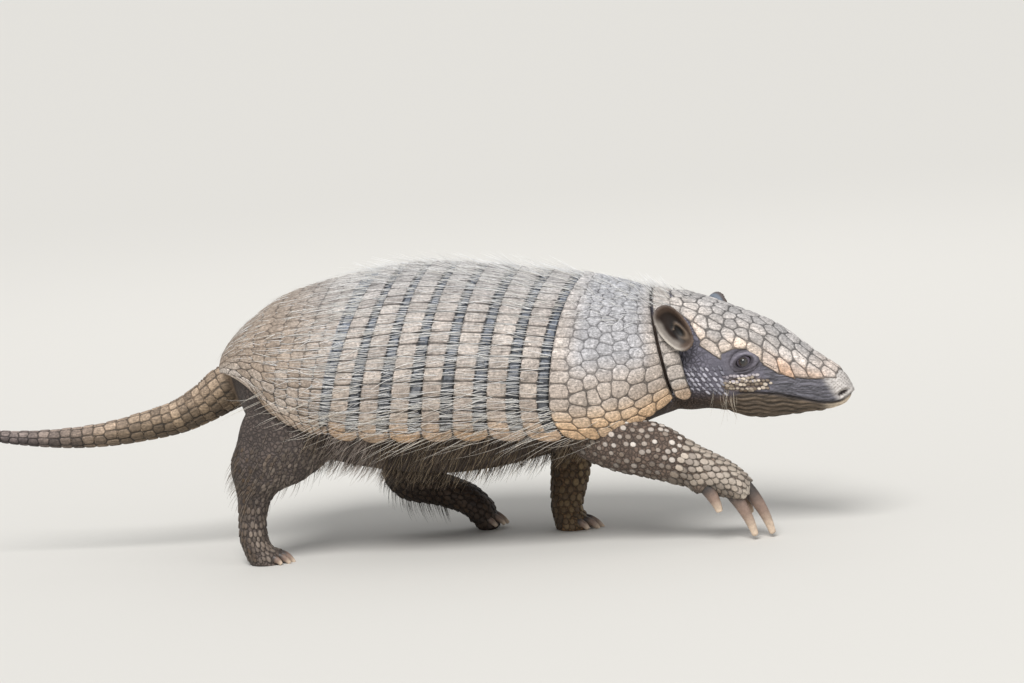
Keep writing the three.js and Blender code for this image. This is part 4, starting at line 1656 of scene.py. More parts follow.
@dataclass
class Ear:
    """One ear: a long cup with a rolled rim, a ridge inside and a canal, which is painted dark as shade."""

    node: str
    side: int
    along: float
    out: float
    height: float
    lean: float
    flare: float
    face: float
    length: float = 32.5
    width: float = 20.5
    depth: float = 10.0

    def place(self, points: np.ndarray) -> np.ndarray:
        """Sets the ear's own points on the head: x is its width, -y its opening, z its length."""
        turn = Matrix.Identity(3)
        for angle, axis in ((self.lean, "Y"), (self.face, "Z"), (self.flare, "X")):
            turn = turn @ Matrix.Rotation(math.radians(angle), 3, axis)
        turned = points @ np.array(turn).T
        turned[:, 1] *= 1 if self.side < 0 else -1
        c, s = math.cos(Head.YAW), math.sin(Head.YAW)
        x, y, z = turned.T
        at = Head.out(self.along, self.side * self.out, self.height)
        return stacked(x * c - y * s, x * s + y * c, z) + at

    def make(self, finish: bpy.types.Material) -> bpy.types.Object:
        """Builds the ear in place of its solid."""
        name = self.node + "_skin"
        mesh = sphere(name, 56, 40)
        x, y, z = read_points(mesh).T
        # The front pole opens inwards: from the back's pole at 1 over the rim to the cup's floor at 0.
        away = np.arccos(np.clip(-y, -1, 1)) / np.pi
        rim = 0.38
        outer = away > rim
        back, cup = np.clip((away - rim) / (1 - rim), 0, 1), np.clip(away / rim, 0, 1)
        around = np.arctan2(z, x)
        level, front = np.sin(around), ramp(-0.8, 0.1, np.cos(around))
        inside = 1 - ramp(0.34, 0.42, away)
        hollow = np.hypot((x - 0.28) / 0.34, (z + 0.24) / 0.42)
        ridge = inside * hump(hollow, 1.05, 0.22) * ramp(-0.5, 0.6, np.sin(around * 1.5 + 2.2))
        canal = inside * hump(hollow, 0, 1)
        roll = 0.6 * hump(away, 0.39, 0.03)
        reach = np.where(outer, np.sin(np.pi * np.clip((1 - away) / (2 - 2 * rim), 0, 0.5)), 0.93 * cup)
        size = reach * (1 + 0.1 * level - 0.07 * np.cos(2 * around)) * (1 + 0.05 * roll)
        bowl = (self.depth - 1.4) * (1 - cup ** (3.2 + 1.4 * np.cos(around)))
        deep = np.where(outer, self.depth * 1.05 * back**0.62, bowl) - 1.9 * ridge + 1.2 * canal
        root = ramp(0.6, 1.0, back)
        own = stacked(
            0.5 * self.width * size * signed_power(np.cos(around), 0.9),
            deep - 0.25 * self.depth - 0.7 * roll + root * 9,
            0.5 * self.length * size * signed_power(level, 0.9) - root * 4,
        )
        write_points(mesh, self.place(own))
        edge = hump(away, 0.39, 0.035) * (0.25 + 0.75 * ramp(0.75, 0.1, level))
        band = (1 - front) * ramp(0.98, 0.7, level) * ramp(0.42, 0.72, cup)
        colour = painted(
            linear("6F7782"),
            ("5A5352", 1 - ramp(0.44, 0.54, away)),
            ("2C1D15", 1 - ramp(0.36, 0.42, away)),
            ("A59C93", 0.95 * inside * band),
            ("5E4C40", 0.9 * inside * front * ramp(0.72, 0.85, cup)),
            ("CFC6BA", 0.9 * edge * (1 - front)),
            ("6F5C4E", 0.9 * edge * front),
            # The canal and the cup's floor are painted dark as shade.
            ("0C0806", np.clip(canal * 2.4 + 0.45 * inside * (1 - cup), 0, 1)),
            ("8A7766", 0.75 * ridge),
        )
        write_tint(mesh, colour)
        made = piece(joined(name, [mesh], outward=True), finish)
        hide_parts(self.node)
        return made


EARS = (
    Ear("ear_right", -1, 20.5, 48, 147, -36, 12, 22),
    Ear("ear_left", 1, 22.5, 42, 140.5, -14, 14, 22),
)


@dataclass
class Eye:
    """One eye with the ring of lids round it."""

    node: str
    side: int
    opening: tuple[float, float] = (4.1, 3.4)
    rim: tuple[float, float] = (12.0, 8.8)
    spine: tuple[tuple[float, float], ...] = (
        (0, 3.2), (0.06, 4.2), (0.15, 4.4), (0.28, 4.1), (0.4, 3.6), (0.55, 3.1), (0.78, 2.2), (1, 0.7)
    )

    def centre(self) -> np.ndarray:
        """The eye's middle."""
        along, side, height = Head.EYE
        return Head.out(along, self.side * side, height)

    def axes(self) -> np.ndarray:
        """Rows of the eye's own axes: forward along the head, up, and outward."""
        c, s = math.cos(Head.YAW), math.sin(Head.YAW)
        forward = np.array([c, s, 0])
        outward = np.array([-s, c, 0]) * self.side
        tilt = math.radians(11)
        up = np.array([0, 0, 1])
        gaze = unit(outward * math.cos(tilt) + forward * math.sin(tilt) * 0.9 + up * 0.16)
        level = unit(forward - gaze * (forward @ gaze))
        return np.stack([level, np.cross(gaze, level) * (1 if self.side < 0 else -1) * -1, gaze])

    def ball(self, finish: bpy.types.Material) -> bpy.types.Object:
        """Builds the wet ball: a black pupil in a dark brown iris with a grey-violet edge."""
        mesh = sphere(self.node + "_ball", 48, 32, Head.EYE_RADIUS)
        own = read_points(mesh)
        away = np.degrees(np.arccos(np.clip(own[:, 2] / Head.EYE_RADIUS, -1, 1)))
        own[:, 2] += 0.5 * (1 - ramp(10, 34, away))
        write_points(mesh, own @ self.axes() + self.centre())
        iris, ring, white = ramp(17, 21, away), ramp(28, 33, away), ramp(36, 44, away)
        write_tint(mesh, painted(linear("0C0A0A"), ("2C211C", iris), ("191416", ring), ("5E5660", white)))
        made = piece(mesh, finish)
        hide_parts(self.node)
        return made

    def lids(self, finish: bpy.types.Material) -> bpy.types.Object:
        """Builds the lids: a wrinkled ring from the ball's surface out into the skin."""
        bm = bmesh.new()
        verts = [bm.verts.new((1 + share, 0, height)) for share, height in self.spine]
        edges = [bm.edges.new(pair) for pair in zip(verts, verts[1:])]
        turn = {"cent": (0, 0, 0), "axis": (0, 0, 1), "angle": 2 * math.pi, "steps": 56}
        bmesh.ops.spin(bm, geom=verts + edges, use_merge=True, **turn)
        bmesh.ops.remove_doubles(bm, verts=bm.verts, dist=1e-4)
        bmesh.ops.subdivide_edges(bm, edges=bm.edges, cuts=1, use_grid_fill=True)
        mesh = mesh_of(bm, f"lids_{self.node}")
        flat_x, flat_y, height = read_points(mesh).T
        angle = np.arctan2(flat_y, flat_x)
        c, s = np.cos(angle), np.sin(angle)
        share = np.hypot(flat_x, flat_y) - 1
        wide, tall = (near + (far - near) * share for near, far in zip(self.opening, self.rim))
        corner = np.abs(c) ** 3
        # The upper fold runs as a flat arch over the eye, under a heavier roll of skin.
        above = ramp(-0.15, 0.5, s)
        crease = above * hump(share, 0.54 + 0.3 * c**2, 0.075)
        roll = above * s**2 * hump(share, 0.72, 0.1)
        fold = 0.16 * np.sin(share * 34) * ramp(0.3, 0.5, share) * (1 - ramp(0.85, 1, share))
        drop = -0.9 * hump(share, 0, 0.5) * c
        x = wide * c * (1 + 0.16 * corner * (1 - share))
        y = tall * s + drop * (1 - share) - 0.16 * x
        z = height + 0.7 * roll - 0.7 * crease + fold - 0.5 * corner * (1 - share)
        write_points(mesh, stacked(x, y, z) @ self.axes() + self.centre())
        colour = painted(
            linear("141117"),
            ("4C4750", ramp(0.04, 0.14, share)),
            ("6E6972", ramp(0.24, 0.42, share)),
            # painted highlight on the lower lid
            ("817C86", (1 - above) * hump(share, 0.4, 0.12)),
            ("625E66", ramp(0.5, 0.75, share)),
            # painted shadow of the brow in the upper crease
            ("1D1718", 0.95 * crease),
            # painted shade in the lids' corners
            ("2E272A", 0.6 * corner * (1 - ramp(0.2, 0.6, share))),
        )
        write_tint(mesh, colour)
        write_value(mesh, "scaly", 0 * share)
        write_value(mesh, "wrinkled", 0.5 + 0 * share)
        return piece(mesh, finish)


def make_claws(finish: bpy.types.Material) -> list[bpy.types.Object]:
    """Builds every claw in place of its solid: dark at the root, brown, then ivory at the tip."""
    made = []
    for leg in LEGS:
        for number, form in enumerate(leg.claw_forms(), start=1):
            name = f"{leg.name}_claw_{number}"
            mesh = loft(name + "_horn", form.limb().skin, 28, 40)
            points = read_points(mesh)
            run, _ = nearest_run(form.limb(), points)
            write_points(mesh, np.maximum(points, (-np.inf, -np.inf, 0)))
            ivory = ("8A7467", ramp(0.1, 0.5, run)), ("CDB8A2", ramp(0.5, 0.95, run))
            write_tint(mesh, painted(linear("3F3936"), *ivory))
            claw = piece(mesh, finish)
            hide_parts(name)
            made.append(claw)
    return made


# ---------------------------------------------------------------- small scales


def dome(sides: int, height: float) -> bpy.types.Mesh:
    """A low domed scale of radius 1, with its foot sunk under the skin."""
    bm = bmesh.new()
    disc = bmesh.ops.create_circle(bm, cap_ends=True, cap_tris=False, segments=sides, radius=1)
    face = disc["verts"][0].link_faces[0]
    if face.normal.z < 0:
        face.normal_flip()
    for thickness, rise in ((0.05, height * 1.6), (0.28, height * 0.4)):
        bmesh.ops.inset_individual(bm, faces=[face], thickness=thickness, depth=rise)
    bmesh.ops.translate(bm, verts=bm.verts, vec=(0, 0, -height))
    return mesh_of(bm, "dome", outward=False)


@dataclass
class Spots:
    """Where many small things stand on the skin: middle, own axes, place on the unwrap, colour."""

    tree: BVHTree
    rows: list[tuple] = field(default_factory=list)

    def add(
        self,
        near: np.ndarray,
        heading: np.ndarray,
        size: tuple[float, float, float],
        tilt: float,
        place: tuple[float, float],
        colour: np.ndarray,
    ) -> None:
        """Sets one scale on the skin.

        Args:
            near: A point close to the skin.
            heading: The way the scale's free edge points.
            size: Half length, half width and height.
            tilt: How far the free edge stands up, in degrees.
            place: The spot on the unwrap.
            colour: Linear colour.
        """
        spot, normal, _, away = self.tree.find_nearest(Vector(near))
        if spot is None or away > 6:
            return
        up = np.array(normal)
        along = heading - up * float(heading @ up)
        if np.linalg.norm(along) < 0.2:
            return
        along = unit(along)
        c, s = math.cos(math.radians(tilt)), math.sin(math.radians(tilt))
        along, up = along * c + up * s, up * c - along * s
        axes = np.array([along, np.cross(up, along), up]) * np.array(size)[:, None]
        self.rows.append((np.array(spot), axes, place, colour))

    def grow(self, name: str, template: bpy.types.Mesh) -> bpy.types.Mesh:
        """Copies a small shape to every spot.

        Args:
            name: The mesh's name.
            template: The shape, of radius 1.

        Returns:
            The joined mesh.
        """
        own = read_points(template)
        at, axes, places, colours = (np.array(row) for row in zip(*self.rows))
        mesh = copies(template, len(at))
        mesh.name = name
        write_points(mesh, (at[:, None] + np.einsum("vk,nkc->nvc", own, axes)).reshape(-1, 3))
        places = places[:, None] + 0.0015 * own[None, :, :2]
        write_unwrap(mesh, np.clip(places.reshape(-1, 2), 0, 1))
        # Each scale is painted lighter on its crown and darker towards its rim, as shade.
        crown = ramp(1.0, 0.6, np.hypot(own[:, 0], own[:, 1]))[None, :, None]
        write_tint(mesh, (colours[:, None] * (0.35 + 0.65 * crown)).reshape(-1, 3))
        return mesh


@dataclass
class LimbScales:
    """Overlapping scales down a leg, in rings that are set off by half a scale."""

    leg: Leg
    run: tuple[float, float]
    pitch: tuple[float, float]
    size: tuple[float, float]
    height: float
    tilt: float
    colours: tuple[str, str]
    share: float = 1.0

    def scatter(self, spots: Spots) -> None:
        """Sets the scales."""
        chance = np.random.default_rng(len(self.leg.name) + int(100 * self.run[0]))
        limb = self.leg.limb()
        first, last = self.run
        rings = round((last - first) * limb.length / self.pitch[0])
        for ring in range(rings + 1):
            run = first + (last - first) * (ring / rings)
            girth = math.pi * float(limb.curve(run)[3:5].sum())
            count = max(6, round(girth / self.pitch[1]))
            for index in range(count):
                if chance.random() > self.share:
                    continue
                turn = 2 * math.pi * (index + (0.5 if ring % 2 else 0) + chance.uniform(-0.2, 0.2)) / count
                at_run = run + chance.uniform(-0.2, 0.2) * self.pitch[0] / limb.length
                near = limb.skin(at_run, turn, 1.0)
                if near[2] < 2.5:
                    continue
                grow = chance.uniform(0.85, 1.12)
                low = float(ramp(0.2, -0.8, math.cos(turn)))
                dark, light = self.colours
                colour = painted(linear(dark), (light, chance.random()))
                colour = painted(colour, ("94704A", 0.35 * low * chance.random()))
                # The scales turn browner on the leg's lower side, where their brightness is also halved as
                # painted shade.
                colour = colour * chance.uniform(0.8, 1.1) * (1 - 0.5 * low)
                size = self.size[0] * grow, self.size[1] * grow, self.height
                place = 0.02 + 0.96 * at_run, (turn / (2 * math.pi)) % 1
                spots.add(near, limb.heading(at_run), size, self.tilt, place, colour)


@dataclass
class HeadScales:
    """Small separate scales on a patch of the cheek, in slanted rows."""

    low: tuple[float, float]
    high: tuple[float, float]
    pitch: float
    size: tuple[float, float]
    slant: float
    colours: tuple[str, str]
    round_patch: bool = False
    height: float = 0.7

    def scatter(self, spots: Spots) -> None:
        """Sets the scales on both cheeks."""
        chance = np.random.default_rng(int(self.low[0]) + 50)
        columns, rows = (round((self.high[i] - self.low[i]) / self.pitch) for i in (0, 1))
        slant = math.radians(self.slant)
        ahead = Head.out(math.cos(slant), 0, 0) - Head.out(0, 0, 0)
        ahead[2] = math.sin(slant)
        for side, column, row in itertools.product((-1, 1), range(columns + 1), range(rows + 1)):
            u = (column + (0.5 if row % 2 else 0)) / columns
            v = row / rows
            if self.round_patch and math.hypot(2 * u - 1, 2 * v - 1) > 1.05:
                continue
            pull = chance.uniform(-0.18, 0.18, 2) * self.pitch
            along = self.low[0] + (self.high[0] - self.low[0]) * u + pull[0]
            height = self.low[1] + (self.high[1] - self.low[1]) * v + pull[1]
            near = Head.out(along, side * float(Head.STATIONS(along)[2]), height)
            first, second = self.colours
            colour = painted(linear(first), (second, chance.random()))
            grow = chance.uniform(0.75, 1.15)
            size = self.size[0] * grow, self.size[1] * grow, self.height
            colour = colour * chance.uniform(0.8, 1.1)
            spots.add(near, ahead, size, 6, Head.place(along, side, height), colour)


def make_scales(tree: BVHTree, finish: bpy.types.Material) -> list[bpy.types.Object]:
    """Builds the scales of the legs and the cheeks."""
    hind_right, hind_left, fore_left, fore_right = LEGS
    pale, warm = "A3968A", "C3B5A5"
    groups = {
        "fore_right_scales": [
            LimbScales(fore_right, (0.2, 0.56), (5.6, 5.6), (2.3, 1.9), 0.5, 6, ("8A7B6E", "D6CCC2"), 0.8),
            LimbScales(fore_right, (0.6, 0.93), (4.9, 5.2), (3.7, 2.45), 0.75, 13, (pale, warm)),
            LimbScales(fore_right, (0.965, 0.985), (5.0, 7.4), (4.3, 3.5), 0.9, 10, ("CBBBA9", "DDD0C0")),
        ],
        "fore_left_scales": [
            # The far foreleg's scales are painted dark as shade.
            LimbScales(fore_left, (0.25, 0.95), (5.0, 5.4), (2.9, 2.4), 0.6, 9, ("5A4630", "86704F")),
        ],
        "hind_right_scales": [
            LimbScales(hind_right, (0.2, 0.6), (4.0, 4.2), (2.2, 1.3), 0.35, 4, ("463B33", "75695F"), 0.75),
            LimbScales(hind_right, (0.62, 0.97), (4.3, 3.7), (2.7, 1.55), 0.5, 7, ("584C43", "8A7C70"), 0.9),
        ],
        "hind_left_scales": [
            # The far hind leg's scales are painted dark as shade.
            LimbScales(hind_left, (0.3, 0.95), (5.0, 4.6), (2.8, 2.0), 0.5, 8, ("30221A", "4A3829")),
        ],
    }
    made = []
    template = dome(8, 1.0)
    for name, layouts in groups.items():
        spots = Spots(tree)
        for layout in layouts:
            layout.scatter(spots)
        made.append(piece(spots.grow(name, template.copy()), finish))
    spots = Spots(tree)
    cheek = HeadScales((14, 94), (46, 118), 4.0, (2.3, 1.0), -48, ("6A6873", "CFCCD6"), False, 0.5)
    patch = HeadScales((48, 100), (78, 110.5), 2.8, (1.85, 1.25), -12, ("6B5A49", "E4D5C2"), True, 0.32)
    lid = HeadScales((47, 108.5), (69, 112), 2.5, (1.75, 1.15), -8, ("7A727A", "D8CFD0"), False, 0.3)
    for layout in (cheek, patch, lid):
        layout.scatter(spots)
    made.append(piece(spots.grow("cheek_scales", template), finish))
    return made


@dataclass
class TailScutes:
    """Rings of horny scutes round the tail, large at its root and small at its tip."""

    rings: int = 30
    half: float = 40.0
    mean_radius: float = 9.0
    relief: Relief = Relief(0.4, 2, ((0.35, 0.45), (0.5, 0.25), (0.7, 0.1)))

    def steps(self) -> np.ndarray:
        """Where the rings' edges lie along the layout, closer together towards the tip."""
        share = np.arange(self.rings + 1) / self.rings
        return TAIL.length * (0.07 + 0.88 * (1.25 * share - 0.25 * share**2))

    def radius(self, flat_x: Real) -> Real:
        """The tail's radius at a place along the layout."""
        return TAIL.curve(flat_x / TAIL.length)[3]

    def seeds(self) -> np.ndarray:
        """The scutes' middles, in rings set off by half a scute."""
        edges = self.steps()
        found = []
        for ring in range(self.rings):
            x = (edges[ring] + edges[ring + 1]) / 2
            width = 7.4 - 2.2 * ring / self.rings
            count = max(7, round(2 * math.pi * float(self.radius(x)) / width))
            for index in range(-1, count + 1):
                y = -self.half + 2 * self.half * (index + (0.12 if ring % 2 else 0)) / count
                found.append((x, y))
        return np.array(found)

    def place(self, flat: np.ndarray) -> np.ndarray:
        """Bends flat points round the tail."""
        radius = self.radius(flat[:, 0])
        turn = np.pi * flat[:, 1] / self.half
        fade = 1 - 0.35 * ramp(120, 220, flat[:, 0])
        pinch = 1 + (flat[:, 2] * fade - 0.1) / radius
        return TAIL.skin(flat[:, 0] / TAIL.length, turn, pinch)

    def make(self, finish: bpy.types.Material) -> bpy.types.Object:
        """Builds the scutes over the tail's skin."""
        edges = self.steps()
        seeds = self.seeds()
        # The layout is stretched so that its width is the tail's girth, or the cells would be slivers.
        scale = 2 * math.pi * self.mean_radius / (2 * self.half)
        squeezed = seeds * (1, scale)
        low = Vector((edges[0], -self.half * scale, 0))
        high = Vector((edges[-1], self.half * scale, 0))
        sheet = ScuteSheet.mosaic(squeezed, low, high)
        sheet.raise_scutes((self.relief,), lambda cell: 0)
        mesh, flat = sheet.bent(
            "tail_scutes", lambda points: self.place(points / (1, scale, 1)), self.relief.height
        )
        shade = read_value(mesh, "shade")
        x = flat[:, 0]
        top = ramp(-0.5, 0.9, -np.cos(np.pi * flat[:, 1] / (self.half * scale)))
        colour = painted(linear("9A8267"), ("B89E80", shade))
        colour = painted(
            colour,
            ("7C737A", 0.75 * ramp(95, 190, x)),
            ("8A7D74", 0.5 * top),
        )
        # The tail is painted darker underneath as shade: its brightness runs from 1.22 on top down to 0.42
        # under it.
        write_tint(mesh, colour * ((0.42 + 0.8 * top) * (0.68 + 0.55 * shade))[:, None])
        return piece(mesh, finish)


# ---------------------------------------------------------------- hair


@dataclass
class Strands:
    """Many hairs, each a thin tapering body bent from root over a middle point to its tip."""

    chance: np.random.Generator
    rows: list[tuple[np.ndarray, ...]] = field(default_factory=list)

    def draw(self, count: int, *spans: tuple[float, float]) -> list[np.ndarray]:
        """Random numbers, one for each hair, for each span in turn."""
        return [self.chance.uniform(*span, count) for span in spans]

    def add(
        self,
        roots: np.ndarray,
        bends: np.ndarray,
        tips: np.ndarray,
        places: tuple[Real, Real],
        colours: np.ndarray | tuple[str, str],
        radius: tuple[float, float],
        finer: Real = 1,
    ) -> None:
        """Adds hairs, one for each row.

        Args:
            roots: Where they start.
            bends: What they bend towards on the way.
            tips: Where they end.
            places: Their roots' places on the unwrap.
            colours: Linear colours, or the two sRGB hex colours that they lie between.
            radius: The least and the greatest radius at the root.
            finer: What the radius is multiplied by.
        """
        count = len(roots)
        if isinstance(colours, tuple):
            first, second = colours
            colours = painted(linear(first), (second, self.chance.random(count)))
            colours = colours * self.chance.uniform(0.8, 1.12, (count, 1))
        radii = self.chance.uniform(*radius, count) * finer
        self.rows.append((roots, bends, tips, stacked(*places), colours, radii[:, None]))

    @staticmethod
    def template(cuts: int) -> bpy.types.Mesh:
        """A three-sided tapering rod from z = 0 to z = 1."""
        bm = bmesh.new()
        bmesh.ops.create_cone(bm, cap_ends=True, segments=3, radius1=1, radius2=0.12, depth=1)
        sides = [e for e in bm.edges if abs(e.verts[0].co.z - e.verts[1].co.z) > 0.5]
        bmesh.ops.subdivide_edges(bm, edges=sides, cuts=cuts)
        bmesh.ops.translate(bm, verts=bm.verts, vec=(0, 0, 0.5))
        return mesh_of(bm, "hair")

    def grow(self, name: str, cuts: int = 3) -> bpy.types.Mesh:
        """Ends the hairs as one mesh."""
        roots, bends, tips, places, colours, radii = (
            np.concatenate(rows)[:, None] for rows in zip(*self.rows)
        )
        rod = self.template(cuts)
        x, y, s = np.split(read_points(rod)[None], 3, axis=-1)
        mesh = copies(rod, len(roots))
        mesh.name = name
        middle = (1 - s) ** 2 * roots + 2 * s * (1 - s) * bends + s * s * tips
        ahead = unit(2 * (1 - s) * (bends - roots) + 2 * s * (tips - bends) + 1e-6)
        across = unit(np.cross(ahead, np.array([0.13, 0.31, 0.94])))
        up = np.cross(across, ahead)
        write_points(mesh, (middle + radii * (across * x + up * y)).reshape(-1, 3))
        spread = places + 0.003 * np.concatenate([s, 0.5 + 0.5 * x], -1)
        write_unwrap(mesh, np.clip(spread.reshape(-1, 2), 0, 1))
        write_tint(mesh, (colours * (0.8 + 0.22 * s)).reshape(-1, 3))
        return mesh


class Bristles:
    """Stiff pale hairs that stand in the grooves of the shell and lie back along it."""

    @staticmethod
    def root(x: np.ndarray, t: np.ndarray) -> tuple[np.ndarray, tuple[np.ndarray, np.ndarray]]:
        """Roots a little under the shell's face, and their places on the unwrap."""
        return Trunk.shell(x, t, -0.8), (0.02 + x / 330 * 0.95, 0.5 + 0.48 * t)

    def lie(
        self, strands: Strands, x: np.ndarray, t: np.ndarray, reach: np.ndarray, lift: np.ndarray
    ) -> None:
        """Adds hairs that follow the shell backwards.

        Args:
            strands: Where they are kept.
            x: The roots' distance from the rump.
            t: The roots' place from rim to rim.
            reach: The hairs' lengths.
            lift: How high the tips stand over the shell.
        """
        roots, places = self.root(x, t)
        sweep = strands.chance.normal(0.0, 0.026, len(x)) + 0.01 * np.sign(t)
        bends = Trunk.shell(x - 0.5 * reach, t + 0.35 * sweep, 0.9 + 0.4 * lift)
        tips = Trunk.shell(x - reach, t + sweep, 0.5 + lift)
        finer = 0.7 + 0.3 * ramp(0.1, 0.5, np.abs(t))
        strands.add(roots, bends, tips, places, ("F2EDE4", "FFFFFF"), (0.22, 0.34), finer)

    def patch(self, strands: Strands, count: int, *spans: tuple[float, float]) -> None:
        """Adds hairs spread over spans of x, t, reach and lift; the patch is narrower on the rump."""
        x, t, reach, lift = strands.draw(count, *spans)
        self.lie(strands, x, t * (0.6 + 0.4 * ramp(10, 60, x)), reach, lift)

    def flanks(self) -> Strands:
        """Hairs from every hinge line, a few for each scute."""
        strands = Strands(np.random.default_rng(5))
        for hinge in Trunk.HINGES:
            spans = (-1, 1), (0, 1), (-4, 4), (18, 56), (0.3, 1.8)
            side, level, ahead, reach, lift = strands.draw(200, *spans)
            t = np.sign(side) * 0.95 * level**0.8
            self.lie(strands, hinge.at(t) + ahead, t, reach, lift)
        return strands

    def back(self) -> Strands:
        """Denser and higher hairs over the back."""
        strands = Strands(np.random.default_rng(6))
        for hinge in Trunk.HINGES:
            for count, spread, low, high in ((60, 0.24, 0.4, 3.5), (32, 0.12, 3.5, 9.0)):
                t = np.clip(strands.chance.normal(0, spread, count), -0.5, 0.5)
                ahead, reach, lift = strands.draw(count, (-7, 3), (14, 28), (low, high))
                self.lie(strands, hinge.at(t) + ahead, t, reach, lift * (1.15 - np.abs(t)))
        self.patch(strands, 420, (14, 110), (-0.8, 0.8), (9, 22), (0.3, 2.6))
        self.patch(strands, 300, (250, 298), (-0.45, 0.45), (5, 12), (0.5, 3))
        return strands

    def long_rim(self, strands: Strands, side: int) -> None:
        """A few long pale hairs that sweep back from the pectoral shield's lower corner."""
        x, t, reach, drop, out = strands.draw(16, (240, 260), (0.8, 0.97), (34, 62), (0.15, 0.4), (0, 6))
        roots, places = self.root(x, side * t)
        bends = roots + stacked(-0.5 * reach, side * 4, -0.3 * drop * reach)
        tips = roots + stacked(-reach, side * out, -drop * reach)
        strands.add(roots, bends, tips, places, ("E6DFD3", "FAF8F4"), (0.24, 0.34))

    @staticmethod
    def nape(strands: Strands) -> None:
        """Short stiff hairs that stand up from the rear of the head."""
        count = 46
        along, turn, reach = strands.draw(count, (2, 24), (-0.7, 0.7), (4, 11))
        reach = reach * (1 - ramp(10, 26, along) * 0.4)
        roots = Head.skin(along, turn, -0.3, 1)
        bends = roots + stacked(-0.3 * reach, 0, 0.45 * reach)
        sway = strands.chance.normal(0, 0.1, count)
        tips = roots + stacked(-0.8 * reach, sway * reach, 0.6 * reach)
        places = 0.1 + along / 160, 0.5 + 0.3 * turn
        strands.add(roots, bends, tips, places, ("E6E0D6", "FAF8F4"), (0.22, 0.32))

    def rims(self) -> Strands:
        """Long curved hairs at the rims that hang back and down, and tufts on the nape."""
        strands = Strands(np.random.default_rng(8))
        for side in (-1, 1):
            x, t, reach = strands.draw(150, (30, 282), (0.8, 0.99), (14, 62))
            reach = reach * (0.5 + 0.5 * ramp(60, 230, x))
            roots, places = self.root(x, side * t)
            out, drop, far, hang = strands.draw(150, (1, 5), (0.05, 0.3), (-1, 5), (0.1, 0.55))
            bends = roots + stacked(-0.45 * reach, side * out, -drop * reach)
            tips = roots + stacked(-reach, side * far, -hang * reach)
            strands.add(roots, bends, tips, places, ("CBC0B0", "EFE9DF"), (0.18, 0.28))
            self.long_rim(strands, side)
        self.nape(strands)
        self.patch(strands, 110, (299, 316), (-0.3, 0.3), (5, 12), (2, 8))
        return strands


class Fringe:
    """Soft hair under the shell's rim, on the belly, the far hind leg and the throat."""

    def belly(self) -> Strands:
        """Rows of hair that hang from under the rim, paler at the groin."""
        strands = Strands(np.random.default_rng(9))
        chance = strands.chance
        count = 620
        first, last = Trunk.FLESH_RUN
        for side in (-1, 1):
            for row in range(4):
                x, spread, reach = strands.draw(count, (66, 292), (-0.12, 0.12), (13, 27))
                turn = side * (np.pi / 2 + 0.28 + 0.3 * row + spread)
                roots = Trunk.flesh((x - first) / (last - first), turn, 0.99)
                reach = reach * (1 - 0.12 * row)
                groin = ramp(76, 88, x) * (1 - ramp(106, 118, x))
                down = stacked(-0.45 * reach, side * 0.10 * reach, -0.85 * reach * (1 - 0.3 * groin))
                tips = roots + down + chance.normal(0, 0.13, (count, 3)) * reach[:, None]
                tips[:, 2] = np.maximum(tips[:, 2], 40)
                bends = roots + 0.5 * down + stacked(0.1 * reach, side * 0.28 * reach, 0)
                light = ("C8B294", chance.random(count) ** 2.6)
                pale = ("CDBDB2", groin * (chance.random(count) < 0.8))
                places = 0.02 + x / 330 * 0.95, (turn / (2 * np.pi)) % 1
                colours = painted(linear("2A1C12"), light, pale)
                strands.add(roots, bends, tips, places, colours, (0.15, 0.26))
        return strands

    def legs(self, tree: BVHTree) -> Strands:
        """Brown hair on the thighs and the throat's few long hairs."""
        strands = Strands(np.random.default_rng(10))
        # The far thigh's hair is painted dark as shade: that leg stands in the body's shadow.
        thighs = (LEGS[1], 900, ("20160E", "483722")), (LEGS[0], 240, ("5A4B40", "A39484"))
        for leg, count, colours in thighs:
            limb = leg.limb()
            run, turn, reach = strands.draw(count, (0.1, 0.62), (0, 2 * np.pi), (6, 15))
            reach = reach[:, None]
            roots = limb.skin(run, turn, 0.98)
            outward = unit(limb.skin(run, turn, 1.2) - roots)
            lie = unit(limb.heading(run) * 0.6 + np.array([-0.25, 0, -0.75]))
            tips = roots + lie * reach + outward * 0.12 * reach
            bends = roots + 0.5 * lie * reach + outward * 0.2 * reach
            places = 0.02 + 0.96 * run, turn / (2 * np.pi)
            strands.add(roots, bends, tips, places, colours, (0.13, 0.2))
        for side in (-1, 1):
            along, height, reach = strands.draw(16, (38, 56), (92, 103), (9, 24))
            spots = Head.out(along, side * Head.STATIONS(along)[2], height)
            roots = np.array([tree.find_nearest(Vector(spot))[0] for spot in spots])
            sway = strands.chance.normal(-0.05, 0.25, 16)
            tips = roots + stacked(sway * reach, side * 0.25 * reach, -0.95 * reach)
            bends = roots + stacked(0, side * 0.3 * reach, -0.4 * reach)
            places = Head.place(along, side, height)
            strands.add(roots, bends, tips, places, ("A59684", "D5CBBB"), (0.12, 0.2))
        return strands


def make_hair(tree: BVHTree, finish: bpy.types.Material) -> list[bpy.types.Object]:
    """Builds the bristles and the fringe as a few pieces."""
    bristles, fringe = Bristles(), Fringe()
    return [
        piece(bristles.flanks().grow("flank_bristles"), finish),
        piece(bristles.back().grow("back_bristles"), finish),
        piece(bristles.rims().grow("rim_hair", 5), finish),
        piece(fringe.belly().grow("belly_hair"), finish),
        piece(fringe.legs(tree).grow("leg_hair"), finish),
    ]


# ---------------------------------------------------------------- studio


class Lamp(Enum):
    """The kinds of light in the studio."""

    PANEL = "AREA"
    SKY = "SUN"


